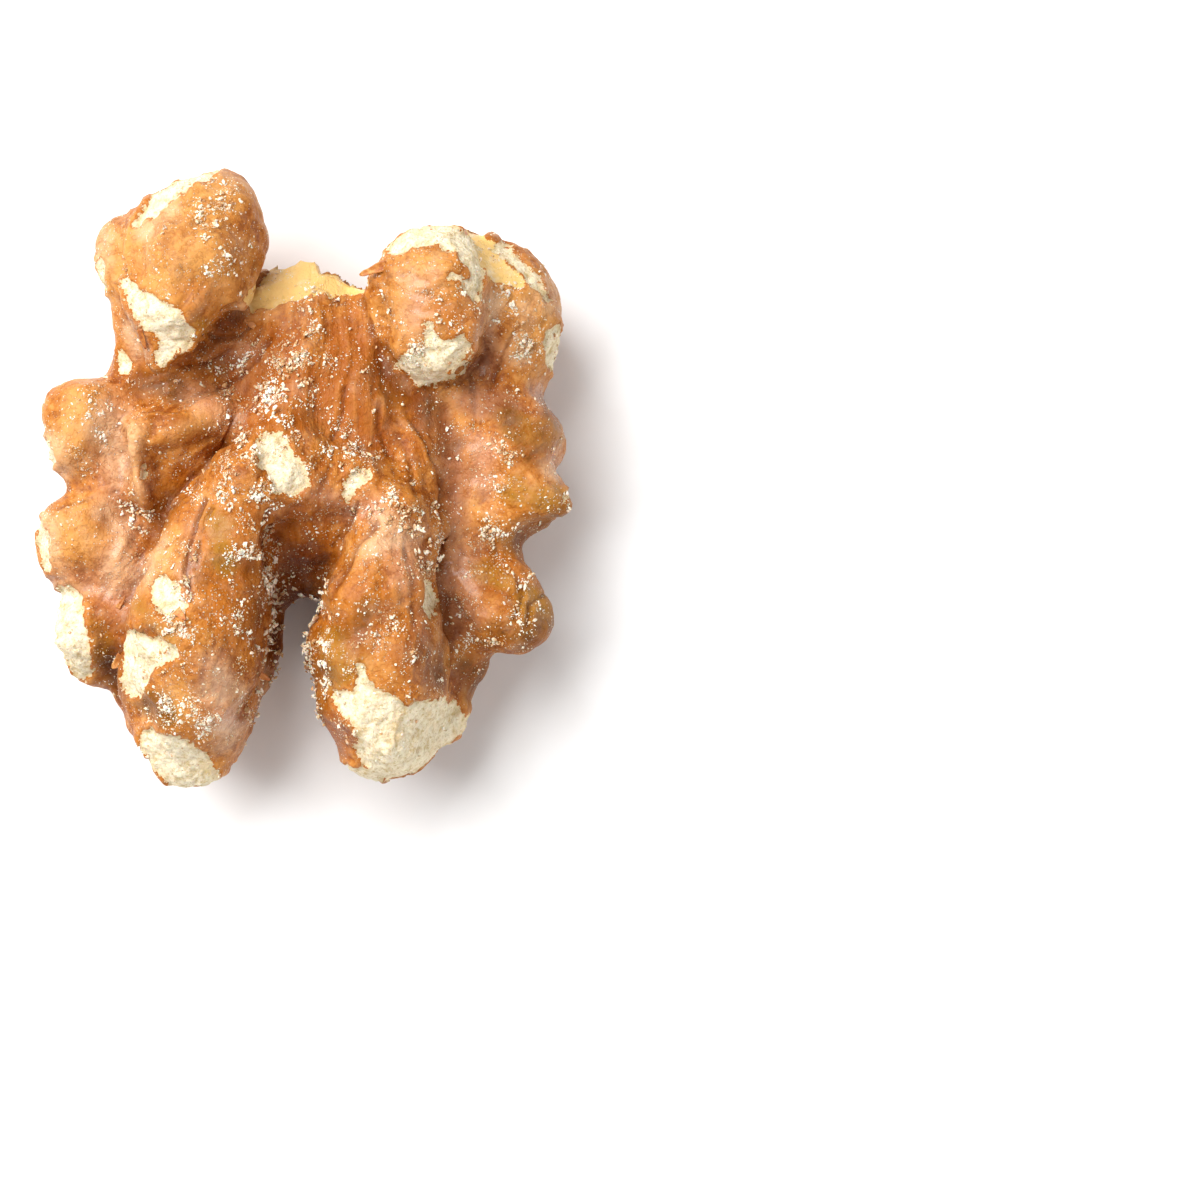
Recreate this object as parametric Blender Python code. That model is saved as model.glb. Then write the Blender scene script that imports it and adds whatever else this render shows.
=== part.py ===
"""Half of a roasted walnut kernel, lying on its rounded back with its inner side up.

The kernel grew as one piece, so it is one solid: lobes, knobs and folds are laid
out as rounded shapes, melted together in one distance field, and the field's zero
surface becomes the mesh. Sizes are in millimetres until the mesh is made.
X runs across the two lobes, Y from the notch to the tip, and Z up from the table.
"""

import bmesh
import bpy
import numpy as np
import openvdb

# Driving sizes of the finished kernel, in millimetres.
LENGTH = 32.0
WIDTH = 27.8
HEIGHT = 13.6

# The rounded back follows the lower side of an egg. The body inside it is the egg
# made smaller by the depth of the folds, and closed at the lying nut's upper side.
BACK_CENTRE = (-0.2, -0.9, 8.2)
BACK_RADII = (12.1, 12.8, 7.2)
BODY_INSET = 1.1
BODY_TOP = 6.3
BODY_TOP_MELT = 1.2

# The brain-like folds of the rounded back, as paths of (x, y, radius). They lie on
# the egg, a little way inside it, and stay under the rim where it curls up.
FOLDS = {
    "left_far": [(-8.2, 10.8, 1.9), (-6.0, 9.2, 1.9), (-3.6, 8.6, 1.7), (-2.2, 5.8, 1.5)],
    "left_neck": [(-8.8, 6.4, 1.6), (-6.4, 6.0, 1.8), (-4.2, 4.2, 1.6)],
    "left_upper": [
        (-10.6, 2.6, 2.0), (-8.0, 3.4, 1.9), (-6.0, 1.6, 1.8), (-3.6, 1.6, 1.8), (-2.2, 3.2, 1.5)],
    "left_middle": [(-10.6, -2.6, 2.0), (-8.0, -1.2, 1.8), (-5.2, -1.4, 1.9), (-2.6, -1.4, 1.8)],
    "left_lower": [(-10.4, -7.6, 2.0), (-8.2, -5.4, 1.9), (-5.8, -4.6, 1.8), (-3.4, -4.8, 1.6)],
    "left_tail": [(-7.4, -11.6, 2.0), (-6.0, -8.6, 2.0), (-3.6, -8.4, 1.7), (-2.4, -11.0, 1.3)],
    "right_far": [(10.2, 9.0, 2.0), (7.4, 9.4, 1.9), (4.8, 8.0, 1.8), (3.0, 9.6, 1.4)],
    "right_neck": [(11.0, 5.0, 1.8), (8.2, 5.6, 1.8), (5.6, 4.4, 1.8), (3.0, 5.0, 1.7)],
    "right_upper": [(11.2, 1.8, 1.8), (8.4, 1.4, 1.9), (5.6, 1.2, 1.9), (2.8, 2.0, 2.0)],
    "right_middle": [
        (11.4, -1.4, 1.2), (8.6, -2.0, 1.8), (6.0, -2.4, 1.8), (3.2, -1.6, 1.8), (2.0, -4.0, 1.5)],
    "right_lower": [(10.4, -6.8, 2.0), (7.8, -5.8, 1.9), (5.2, -5.8, 1.8), (2.8, -7.4, 1.3)],
    "right_tail": [(7.6, -9.6, 1.8), (5.4, -9.4, 1.9), (4.6, -12.0, 1.8)],
    "middle": [(-0.2, 7.0, 1.6), (0.2, 3.4, 1.3), (-0.1, -0.2, 1.2), (0.1, -3.4, 1.3)],
}
FOLD_SINK = 0.5
FOLD_HIGHEST = 4.4
FOLD_MELT = 0.5

# Slow bends that keep the lobes from looking turned, and small lumps all over.
WAVES = 9
SEED = 7
BEND_WIDTH = 7.0
BEND_SIZE = 0.15
LUMP_WIDTH = 3.0
LUMP_SIZE = 0.14

# The field's grid, the triangles that the finished mesh keeps, and how deep its
# lowest folds are cut level.
CELL = 0.34
MARGIN = 1.2
SPINE_STEPS = 4
TRIANGLES = 9500
FLAT_DEPTH = 0.45
MM = 0.001

SKIN_COLOUR = (0.46, 0.20, 0.06, 1.0)
SKIN_ROUGHNESS = 0.45

# The lobes in the order in which they are laid on, from the rim inwards and up.
# Each has its height over its width, how widely it melts into what is already
# there, and a spine of (x, y, z, radius). A "cut" takes its shape away instead.
LOBES = {
    # The left rim, from the legs' side up to the far knob.
    "left_sheet": ("add", 0.75, 2.0, [
        (-8.0, 1.5, 4.9, 3.0), (-9.0, -3.5, 4.9, 3.0), (-8.0, -8.0, 4.8, 3.0)]),
    "left_upper": ("add", 1.0, 0.9, [
        (-9.6, 2.6, 5.6, 2.1), (-11.6, 2.9, 6.3, 2.0), (-11.9, 1.6, 6.0, 1.8)]),
    "left_middle": ("add", 1.0, 0.8, [
        (-9.6, -3.0, 5.4, 2.1), (-11.6, -2.9, 6.1, 2.0), (-11.8, -4.2, 5.7, 1.9)]),
    "left_lower": ("add", 1.1, 0.8, [
        (-9.4, -7.4, 5.0, 2.2), (-11.2, -7.4, 5.6, 2.0), (-10.9, -8.7, 5.2, 1.8)]),
    "left_tail": ("add", 1.0, 1.2, [(-6.5, -10.5, 4.4, 2.4), (-7.7, -12.2, 4.3, 1.8)]),
    "left_far": ("add", 0.9, 1.5, [(-5.5, 7.5, 5.6, 3.0), (-8.2, 10.9, 6.2, 3.0)]),
    "left_bud": ("add", 1.0, 0.8, [(-7.5, 5.8, 5.2, 1.6), (-9.1, 5.9, 5.5, 0.75)]),
    # The right rim, with the hollow beside the right leg.
    "right_far": ("add", 0.9, 1.5, [
        (8.4, 10.1, 6.0, 2.7), (10.6, 8.6, 6.4, 2.7), (11.4, 6.8, 6.0, 2.1)]),
    "right_sheet": ("add", 0.8, 2.0, [
        (8.5, 5.0, 4.9, 2.8), (9.6, 1.2, 5.3, 3.1), (8.5, -4.5, 4.9, 2.6)]),
    "right_upper": ("add", 1.0, 0.8, [(10.2, 2.2, 6.0, 2.0), (11.8, 2.0, 6.6, 1.8)]),
    "right_middle": ("add", 0.9, 0.7, [
        (10.0, -0.3, 5.9, 1.9), (11.5, -0.3, 6.6, 1.9), (12.5, -0.7, 6.6, 1.4),
        (13.1, -1.4, 6.4, 0.8)]),
    "right_lower": ("add", 1.0, 0.8, [
        (9.0, -5.8, 5.4, 2.1), (10.3, -6.6, 6.0, 2.1), (11.1, -7.3, 6.2, 1.95)]),
    "right_tail": ("add", 1.0, 1.2, [(5.5, -10.5, 4.6, 2.6), (7.0, -12.3, 5.2, 1.7)]),
    "right_gap": ("cut", 1.0, 0.8, [(12.6, -3.9, -3.0, 1.3), (12.6, -3.9, 12.0, 1.3)]),
    "right_neck": ("cut", 1.0, 0.8, [(13.6, 4.4, -3.0, 1.0), (13.6, 4.4, 12.0, 1.0)]),
    "left_neck": ("cut", 1.0, 0.8, [(-11.0, 6.6, -3.0, 0.9), (-11.0, 6.6, 12.0, 0.9)]),
    "right_valley": ("add", 0.85, 1.5, [
        (6.8, 8.0, 5.2, 2.6), (7.0, 4.5, 4.9, 2.5), (7.2, 0.5, 5.0, 2.5), (7.0, -4.2, 4.8, 2.5),
        (7.6, -8.2, 4.2, 2.2)]),
    # The ear, a curled lobe between the left rim and the left leg.
    "ear_valley": ("cut", 1.3, 0.7, [
        (-9.9, 3.0, 8.8, 1.2), (-9.7, 0.0, 8.3, 1.1), (-9.4, -2.6, 8.3, 1.1)]),
    "ear_bed": ("add", 0.9, 0.8, [(-6.4, 1.8, 6.7, 1.9), (-6.0, -0.8, 6.2, 1.8)]),
    "ear_rim": ("add", 1.5, 0.6, [
        (-5.2, 3.3, 7.3, 0.9), (-7.0, 2.9, 7.7, 1.0), (-8.1, 2.2, 7.9, 0.9), (-8.3, 0.4, 7.6, 0.8),
        (-7.9, -1.4, 7.1, 0.7), (-7.2, -2.6, 6.7, 0.6)]),
    "ear_hollow": ("cut", 1.0, 0.6, [(-5.6, 1.0, 9.0, 1.3), (-6.2, -1.4, 8.5, 1.1)]),
    # The roof that spans the middle, from the broken tip down to the bridge.
    "tip": ("add", 1.0, 1.2, [
        (-2.2, 8.0, 5.8, 1.9), (-0.6, 9.0, 6.4, 1.9), (1.0, 9.5, 6.5, 1.8), (2.4, 8.6, 6.4, 1.6)]),
    "roof": ("add", 0.6, 1.2, [(0.5, 8.0, 6.8, 2.2), (0.7, 5.2, 6.6, 4.2), (1.0, 1.5, 6.4, 5.4)]),
    "roof_ridge": ("add", 1.0, 1.0, [
        (0.6, 8.8, 8.1, 0.4), (0.1, 6.0, 8.9, 0.5), (-0.6, 2.6, 9.8, 0.8)]),
    "right_ledge": ("add", 1.3, 0.8, [
        (4.6, 4.8, 6.4, 1.4), (5.5, 2.2, 6.8, 1.4), (5.3, -0.5, 7.4, 1.5), (5.3, -3.5, 7.9, 1.5)]),
    # The bridge that joins the legs, and the wall under it.
    "bridge_wall": ("add", 1.0, 1.2, [
        (0.2, -0.6, 6.6, 3.0), (0.4, -2.9, 5.2, 2.7), (0.2, -3.6, 3.4, 2.3)]),
    "wall_left": ("add", 1.0, 0.7, [
        (-1.6, -0.6, 8.6, 1.2), (-1.6, -3.0, 7.0, 1.1), (-1.4, -4.8, 5.4, 1.0)]),
    "wall_right": ("add", 1.0, 0.7, [
        (1.9, -0.9, 8.3, 1.2), (2.2, -2.6, 7.2, 1.3), (1.2, -4.3, 5.6, 1.0)]),
    "bridge": ("add", 1.0, 0.9, [
        (-3.4, -0.6, 9.4, 1.8), (-0.7, 0.4, 9.8, 1.9), (1.3, -0.3, 9.3, 1.4),
        (2.9, -0.3, 9.2, 1.5), (4.8, -1.6, 9.0, 1.6)]),
    # The legs, on roots that reach down into the body.
    "left_root": ("add", 1.0, 1.0, [
        (-4.2, -3.5, 5.6, 2.8), (-4.7, -8.0, 5.2, 3.0), (-5.4, -11.5, 5.0, 2.6)]),
    "right_root": ("add", 1.0, 1.0, [
        (4.2, -2.5, 5.6, 2.8), (3.4, -7.5, 5.2, 2.7), (3.8, -11.0, 5.0, 2.6)]),
    "left_leg": ("add", 1.2, 0.6, [
        (-3.2, -0.6, 9.2, 1.9), (-4.7, -3.6, 8.9, 2.7), (-5.3, -7.5, 8.1, 3.75),
        (-5.8, -11.0, 7.2, 3.5), (-5.4, -13.5, 6.2, 2.5)]),
    "right_leg": ("add", 1.2, 0.6, [
        (4.8, -2.0, 8.6, 1.9), (4.2, -5.0, 8.3, 2.7), (3.9, -8.5, 7.9, 3.3),
        (4.1, -11.3, 7.2, 3.5), (4.2, -13.3, 6.4, 2.6)]),
    # The knobs at the far end.
    "right_shoulder": ("add", 1.0, 0.8, [
        (3.7, 9.9, 8.4, 0.7), (5.0, 9.8, 8.4, 1.7), (4.7, 7.6, 7.4, 1.6), (4.6, 5.6, 7.0, 1.4)]),
    "left_knob": ("add", 0.95, 0.4, [
        (-4.4, 13.5, 8.2, 2.3), (-5.7, 11.2, 8.8, 3.5), (-6.4, 8.8, 9.2, 2.6),
        (-7.2, 6.3, 9.0, 0.7)]),
    "right_knob": ("add", 0.95, 0.4, [
        (5.8, 10.2, 8.9, 2.1), (7.0, 10.3, 9.2, 2.5), (7.0, 8.2, 9.4, 2.35), (6.7, 6.7, 9.1, 2.0)]),
    # The slot between the legs goes right through, so its spine has no z.
    "slot": ("cut", 1.0, 0.8, [
        (-0.2, -7.1, 1.25), (-0.5, -9.0, 0.85), (-0.9, -12.0, 1.7), (-0.9, -16.5, 2.7)]),
}


def melt(first, second, width):
    """The nearer of two distances, with the corner between them rounded over width."""
    near = np.maximum(width - np.abs(first - second), 0.0) / width
    return np.minimum(first, second) - near * near * width / 4


def smooth_spine(spine):
    """More points on a smooth curve through the spine's own, their radii changing with them."""
    knots = np.array(spine, float)
    ends = np.vstack([2 * knots[0] - knots[1], knots, 2 * knots[-1] - knots[-2]])
    before, start, end, after = ends[:-3], ends[1:-2], ends[2:-1], ends[3:]
    t = (np.arange(SPINE_STEPS) / SPINE_STEPS)[:, None, None]
    square = 2 * before - 5 * start + 4 * end - after
    cube = 3 * (start - end) + after - before
    curve = start + 0.5 * t * (end - before + t * (square + t * cube))
    return np.vstack([curve.transpose(1, 0, 2).reshape(-1, knots.shape[1]), knots[-1]])


def spine_distance(points, spine, height):
    """Distance to a rod that runs smoothly through the spine's points, height times as tall as wide."""
    knots = smooth_spine(spine) if len(spine) > 2 else np.array(spine, float)
    size = knots.shape[1] - 1
    stretch = np.array([1.0, 1.0, 1.0 / height])[:size]
    nearest = np.full(points.shape[:-1], np.inf)
    for start, end in zip(knots[:-1], knots[1:]):
        step = (end - start)[:size] * stretch
        offset = (points[..., :size] - start[:size]) * stretch
        along = np.clip(offset @ step / (step @ step), 0.0, 1.0)
        away = np.linalg.norm(offset - along[..., None] * step, axis=-1)
        nearest = np.minimum(nearest, away - start[size] - (end - start)[size] * along)
    return nearest


def body_distance(points):
    """Distance to the body: the inset egg, closed by a level top."""
    scaled = (points - np.array(BACK_CENTRE)) / np.array(BACK_RADII)
    egg = (np.linalg.norm(scaled, axis=-1) - 1.0) * min(BACK_RADII) + BODY_INSET
    return -melt(-egg, BODY_TOP - points[..., 2], BODY_TOP_MELT)


def fold_spine(path):
    """A fold's path with its height added: just inside the egg's lower side."""
    x, y, radius = np.array(path).T
    across = (x - BACK_CENTRE[0]) / BACK_RADII[0]
    along = (y - BACK_CENTRE[1]) / BACK_RADII[1]
    drop = BACK_RADII[2] * np.sqrt(np.clip(1.0 - across**2 - along**2, 0.0, 1.0))
    height = np.minimum(BACK_CENTRE[2] - drop + FOLD_SINK, FOLD_HIGHEST)
    return np.stack([x, y, height, radius], axis=1)


def waves(points, width, seed):
    """Waves of one length, each in its own direction, added up: an even field of lumps from -2 to 2."""
    rng = np.random.default_rng(seed)
    total = np.zeros(points.shape[:-1])
    for _ in range(WAVES):
        direction = rng.normal(size=3)
        direction /= np.linalg.norm(direction)
        total += np.cos(points @ direction * (2 * np.pi / width) + rng.uniform(0.0, 2 * np.pi))
    return total / np.sqrt(WAVES / 2)


def kernel_field(points):
    """Distance to the kernel's surface, negative inside."""
    bends = np.stack([waves(points, BEND_WIDTH, SEED + k) for k in (1, 2, 3)], axis=-1)
    bent = points + BEND_SIZE * bends
    field = body_distance(bent)
    for path in FOLDS.values():
        field = melt(field, spine_distance(bent, fold_spine(path), 1.0), FOLD_MELT)
    for action, height, width, spine in LOBES.values():
        lobe = spine_distance(bent, spine, height)
        field = melt(field, lobe, width) if action == "add" else -melt(-field, lobe, width)
    return field + LUMP_SIZE * waves(points, LUMP_WIDTH, SEED)


def surface_mesh():
    """The field's zero surface as an even mesh, in millimetres."""
    low = np.array([-WIDTH / 2, -LENGTH / 2, 0.0]) - MARGIN
    high = np.array([WIDTH / 2, LENGTH / 2, HEIGHT]) + MARGIN
    axes = [np.arange(a, b, CELL) for a, b in zip(low, high)]
    points = np.stack(np.meshgrid(*axes, indexing="ij"), axis=-1)
    grid = openvdb.FloatGrid(CELL)
    grid.copyFromArray(kernel_field(points).astype(np.float32))
    corners, quads = grid.convertToQuads(isovalue=0.0)
    mesh = bpy.data.meshes.new("kernel_surface")
    mesh.from_pydata((corners * CELL + low).tolist(), [], quads[:, ::-1].tolist())
    return mesh


def fewer_faces(mesh, triangles):
    """The mesh with its flatter faces joined, so that about so many triangles are left."""
    draft = bpy.data.objects.new("kernel_draft", mesh)
    bpy.context.scene.collection.objects.link(draft)
    draft.modifiers.new("fewer_faces", "DECIMATE").ratio = triangles / (2 * len(mesh.polygons))
    evaluated = draft.evaluated_get(bpy.context.evaluated_depsgraph_get())
    lighter = bpy.data.meshes.new_from_object(evaluated)
    bpy.data.objects.remove(draft)
    return lighter


def rest_on_flats(mesh):
    """Cuts the lowest folds level, so that the nut lies still on the flats that this leaves."""
    solid = bmesh.new()
    solid.from_mesh(mesh)
    lowest = min(vertex.co.z for vertex in solid.verts)
    cut = bmesh.ops.bisect_plane(
        solid, geom=solid.verts[:] + solid.edges[:] + solid.faces[:],
        plane_co=(0, 0, lowest + FLAT_DEPTH), plane_no=(0, 0, -1), clear_outer=True)
    rims = [part for part in cut["geom_cut"] if isinstance(part, bmesh.types.BMEdge)]
    bmesh.ops.holes_fill(solid, edges=rims)
    bmesh.ops.recalc_face_normals(solid, faces=solid.faces)
    solid.to_mesh(mesh)
    solid.free()


def fit_to_size(mesh):
    """Moves the middle of the base to the origin, and gives the mesh its exact size in metres."""
    corners = np.empty(len(mesh.vertices) * 3)
    mesh.vertices.foreach_get("co", corners)
    corners = corners.reshape(-1, 3)
    low, high = corners.min(axis=0), corners.max(axis=0)
    base = np.array([(low[0] + high[0]) / 2, (low[1] + high[1]) / 2, low[2]])
    size = np.array([WIDTH, LENGTH, HEIGHT])
    mesh.vertices.foreach_set("co", ((corners - base) * size / (high - low) * MM).ravel())
    mesh.update()


def skin_material():
    """The roasted skin: amber brown, with a soft gloss."""
    material = bpy.data.materials.new("roasted_skin")
    material.use_nodes = True
    shader = material.node_tree.nodes["Principled BSDF"]
    shader.inputs["Base Color"].default_value = SKIN_COLOUR
    shader.inputs["Roughness"].default_value = SKIN_ROUGHNESS
    return material


def main():
    for obj in list(bpy.data.objects):
        bpy.data.objects.remove(obj)
    mesh = fewer_faces(surface_mesh(), TRIANGLES)
    mesh.name = "kernel"
    rest_on_flats(mesh)
    fit_to_size(mesh)
    mesh.shade_smooth()
    mesh.materials.append(skin_material())
    kernel = bpy.data.objects.new("kernel", mesh)
    bpy.context.scene.collection.objects.link(kernel)


main()
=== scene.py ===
# %% [markdown]
# # Half of a roasted walnut
#
# The object is one half of a walnut kernel. It lies on its rounded back, so we look
# down on its inner side: two legs with a slot between them, a bridge that joins
# them, a broken pale tip, two knobs and a rim of lobes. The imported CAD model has
# all of those as one smooth solid. What is missing is the skin: its wrinkles and
# fibres, the places where it has torn off the pale meat, its gloss, and the
# crumbs that lie all over it. This script adds exactly that.

import bmesh
import bpy
import numpy as np
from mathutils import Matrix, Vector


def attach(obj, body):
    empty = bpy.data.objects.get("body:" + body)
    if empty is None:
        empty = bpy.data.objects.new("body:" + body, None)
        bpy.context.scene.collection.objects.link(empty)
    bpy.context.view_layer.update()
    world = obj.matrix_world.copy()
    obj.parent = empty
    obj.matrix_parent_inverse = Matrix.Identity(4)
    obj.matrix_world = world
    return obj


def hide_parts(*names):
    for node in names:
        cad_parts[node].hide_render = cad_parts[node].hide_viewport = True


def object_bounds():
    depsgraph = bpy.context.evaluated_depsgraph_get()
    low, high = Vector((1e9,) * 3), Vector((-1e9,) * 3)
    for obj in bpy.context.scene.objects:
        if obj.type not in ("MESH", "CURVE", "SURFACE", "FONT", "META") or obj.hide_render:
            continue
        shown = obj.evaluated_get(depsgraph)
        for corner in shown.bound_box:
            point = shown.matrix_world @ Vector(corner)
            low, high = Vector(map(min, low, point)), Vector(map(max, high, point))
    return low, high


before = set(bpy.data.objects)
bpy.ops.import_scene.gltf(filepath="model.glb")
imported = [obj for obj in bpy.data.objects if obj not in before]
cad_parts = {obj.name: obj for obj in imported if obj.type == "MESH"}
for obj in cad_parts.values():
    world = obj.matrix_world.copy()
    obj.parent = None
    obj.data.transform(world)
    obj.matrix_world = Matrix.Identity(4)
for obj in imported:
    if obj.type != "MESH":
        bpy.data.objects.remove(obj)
cad_low, cad_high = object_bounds()
MM = 0.001


def place_object(name, data):
    """A new object in the scene, at the origin."""
    piece = bpy.data.objects.new(name, data)
    bpy.context.scene.collection.objects.link(piece)
    return piece


print("CAD box in mm:", [round((b - a) / MM, 2) for a, b in zip(cad_low, cad_high)])

# %% [markdown]
# ## The camera
#
# The photograph looks straight down, with the kernel at the left of a square
# picture. One pixel there is a fixed length at the height of the kernel's rim, so
# a plain formula turns a pixel into millimetres on the table. A long lens far
# above keeps the sides of the legs from leaning outwards.

# %% Look straight down, as in the photograph
PHOTO_SIDE = 1200
PIXEL_MM = 0.0516
KERNEL_PIXEL = (304, 480)
CAMERA_HEIGHT = 400.0
RIM_HEIGHT = 6.0


def photo_to_mm(column, row):
    """The point on the table under a pixel: offset from the kernel's pixel, times a pixel's size."""
    return (column - KERNEL_PIXEL[0]) * PIXEL_MM, (KERNEL_PIXEL[1] - row) * PIXEL_MM


camera = bpy.data.cameras.new("camera")
camera.sensor_width = 36.0
camera.lens = camera.sensor_width * (CAMERA_HEIGHT - RIM_HEIGHT) / (PHOTO_SIDE * PIXEL_MM)
camera_object = place_object("camera", camera)
centre_x, centre_y = photo_to_mm(PHOTO_SIDE / 2, PHOTO_SIDE / 2)
camera_object.location = (centre_x * MM, centre_y * MM, CAMERA_HEIGHT * MM)
bpy.context.scene.camera = camera_object
print("lens in mm:", round(camera.lens, 1))

# %% [markdown]
# ## An even, fine mesh to work on
#
# The CAD solid has about ten thousand triangles of every size. Wrinkles a third of
# a millimetre wide need an even mesh that is finer than they are. We could
# subdivide, but that copies the uneven triangles. A voxel remesh gives small
# squares of one size all over, so we round the facets with one subdivision and
# remesh the result. The CAD mesh itself stays untouched: we work on a copy.

# %% Merge, round and remesh a copy of the kernel
VOXEL = 0.165


def evaluated_mesh(obj):
    """The object's mesh with its modifiers applied."""
    return bpy.data.meshes.new_from_object(obj.evaluated_get(bpy.context.evaluated_depsgraph_get()))


def merged_copy(node):
    """A copy of a CAD node's mesh whose loose triangles share their corners again."""
    solid = bmesh.new()
    solid.from_mesh(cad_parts[node].data)
    bmesh.ops.remove_doubles(solid, verts=solid.verts, dist=1e-6)
    mesh = bpy.data.meshes.new(node + "_merged")
    solid.to_mesh(mesh)
    solid.free()
    return mesh


draft = place_object("draft", merged_copy("kernel"))
rounding = draft.modifiers.new("rounding", "SUBSURF")
rounding.levels = rounding.render_levels = 1
even = draft.modifiers.new("even", "REMESH")
even.mode = "VOXEL"
even.voxel_size = VOXEL * MM
kernel_mesh = evaluated_mesh(draft)
bpy.data.objects.remove(draft)
print("even mesh:", len(kernel_mesh.vertices), "corners,", len(kernel_mesh.polygons), "squares")

# %% [markdown]
# ## Arrays instead of vertices
#
# From here on, the mesh is a few numpy arrays: places in millimetres, normals and
# edges. Every wrinkle is then a formula on whole arrays, which is fast and short.

# %% Read the mesh into arrays, and smooth its steps away
SMOOTHING_STEPS = 4
SMOOTHING_SHARE = 0.5


def read_vectors(collection, field, count):
    """Three numbers from each element of a mesh, as an array of rows."""
    values = np.empty(count * 3)
    collection.foreach_get(field, values)
    return values.reshape(-1, 3)


def normals_of(mesh):
    """Unit normals at the corners."""
    return read_vectors(mesh.vertex_normals, "vector", len(mesh.vertices))


def neighbour_mean(values, edges):
    """The mean of each corner's neighbours along the edges, for an array of rows."""
    count = len(values)
    ends = np.concatenate([edges[:, 0], edges[:, 1]])
    others = np.concatenate([edges[:, 1], edges[:, 0]])
    total = np.stack([np.bincount(ends, values[others, k], count) for k in range(values.shape[1])], axis=1)
    return total / np.bincount(ends, minlength=count)[:, None]


def move_corners(mesh, places):
    """Puts the corners, given in millimetres, back into the mesh."""
    mesh.vertices.foreach_set("co", (places * MM).ravel())
    mesh.update()


edges = np.empty(len(kernel_mesh.edges) * 2, int)
kernel_mesh.edges.foreach_get("vertices", edges)
edges = edges.reshape(-1, 2)
places = read_vectors(kernel_mesh.vertices, "co", len(kernel_mesh.vertices)) / MM
for _ in range(SMOOTHING_STEPS):
    places += SMOOTHING_SHARE * (neighbour_mean(places, edges) - places)
move_corners(kernel_mesh, places)
normals = normals_of(kernel_mesh)
print("kernel in mm:", np.ptp(places, axis=0).round(2))

# %% [markdown]
# ## Noise, and marks at given places
#
# Two tools make all the relief and the colour zones. Noise gives what is uneven
# everywhere. Marks give what sits at one place in the photograph: a crease, a torn
# patch or a painted shadow in a hollow. A mark is a short path of (x, y, radius) on
# the table, seen from above, and it counts only for what shows from above.

# %% Noise and marks as functions of place
def smooth_step(value, low, high):
    """0 below low and 1 above high, with an S-shaped rise between."""
    t = np.clip((value - low) / (high - low), 0.0, 1.0)
    return t * t * (3 - 2 * t)


def noise(points, size, seed):
    """Gradient noise from about -1 to 1: each corner of a lattice of cubes of that size has a
    random slope, and the slopes of a cube's eight corners are blended smoothly inside it."""
    rng = np.random.default_rng(seed)
    order = rng.permutation(256)
    slopes = rng.normal(size=(256, 3))
    slopes /= np.linalg.norm(slopes, axis=1, keepdims=True)
    cells = points / size
    corner = np.floor(cells).astype(int)
    inside = cells - corner
    ease = inside**3 * (inside * (inside * 6 - 15) + 10)
    total = np.zeros(len(points))
    for step in np.ndindex(2, 2, 2):
        x, y, z = (corner + step).T & 255
        key = order[(order[(order[x] + y) & 255] + z) & 255]
        weight = np.prod(np.where(step, ease, 1 - ease), axis=1)
        total += weight * np.sum(slopes[key] * (inside - step), axis=1)
    return 1.7 * total


def ridges(points, size, seed):
    """Noise folded at zero, so that it has thin crests at 1 and broad floors near 0."""
    return (1 - np.abs(noise(points, size, seed))) ** 3


def mark(points, path):
    """How far a point is inside a path of (x, y, radius), seen from above: negative outside.
    A path of one knot is a disc."""
    knots = np.array(path * 2 if len(path) == 1 else path, float)
    inside = np.full(len(points), -np.inf)
    for start, end in zip(knots[:-1], knots[1:]):
        step = end - start
        offset = points[:, :2] - start[:2]
        along = np.clip(offset @ step[:2] / max(step[:2] @ step[:2], 1e-9), 0.0, 1.0)
        away = np.hypot(*(offset - along[:, None] * step[:2]).T)
        inside = np.maximum(inside, start[2] + step[2] * along - away)
    return inside


def marks(points, paths):
    """The union of several marks."""
    return np.max([mark(points, path) for path in paths], axis=0)


# %% [markdown]
# ## What shows from above
#
# Two surfaces can lie over each other, such as a knob over the rim behind it. To
# know which one the photograph shows, we keep the greatest height in each cell of
# a grid, like a simple depth picture. Blurring that grid also tells hollows from
# crests: a hollow lies below the mean height round it.

# %% A height map of the kernel
MAP_CELL = 0.3
SHOWN_DEPTH = (1.6, 3.0)
HOLLOW_REACH = 7
HOLLOW_DEPTH = (-0.6, 2.2)
HOLLOW_BELOW = 0.35


def height_map(points):
    """The greatest z in each cell of a grid over x and y, and the grid's lowest corner."""
    low = points[:, :2].min(axis=0) - MAP_CELL
    size = np.ceil((points[:, :2].max(axis=0) - low) / MAP_CELL).astype(int) + 2
    heights = np.zeros(size)
    cells = ((points[:, :2] - low) / MAP_CELL).astype(int)
    np.maximum.at(heights, tuple(cells.T), points[:, 2])
    return heights, low


def read_map(heights, low, points):
    """The map's value at each point, mixed from the four cells round it."""
    spot = np.clip((points[:, :2] - low) / MAP_CELL - 0.5, 0, np.array(heights.shape) - 1.001)
    x, y = spot.astype(int).T
    across, along = (spot - spot.astype(int)).T
    near = heights[x, y] * (1 - across) + heights[x + 1, y] * across
    far = heights[x, y + 1] * (1 - across) + heights[x + 1, y + 1] * across
    return near * (1 - along) + far * along


def blur(heights, reach):
    """The map's mean over a square of cells, done along one side and then the other."""
    kernel = np.ones(2 * reach + 1) / (2 * reach + 1)
    for axis in (0, 1):
        heights = np.apply_along_axis(np.convolve, axis, heights, kernel, mode="same")
    return heights


heights, map_low = height_map(places)
top = read_map(heights, map_low, places)
shown = 1 - smooth_step(top - places[:, 2], *SHOWN_DEPTH)
hollow = read_map(blur(heights, HOLLOW_REACH), map_low, places) - places[:, 2]
hollow = smooth_step(hollow, *HOLLOW_DEPTH) * shown + HOLLOW_BELOW * (1 - shown)
print("share that shows from above:", round(shown.mean(), 2))
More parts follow.
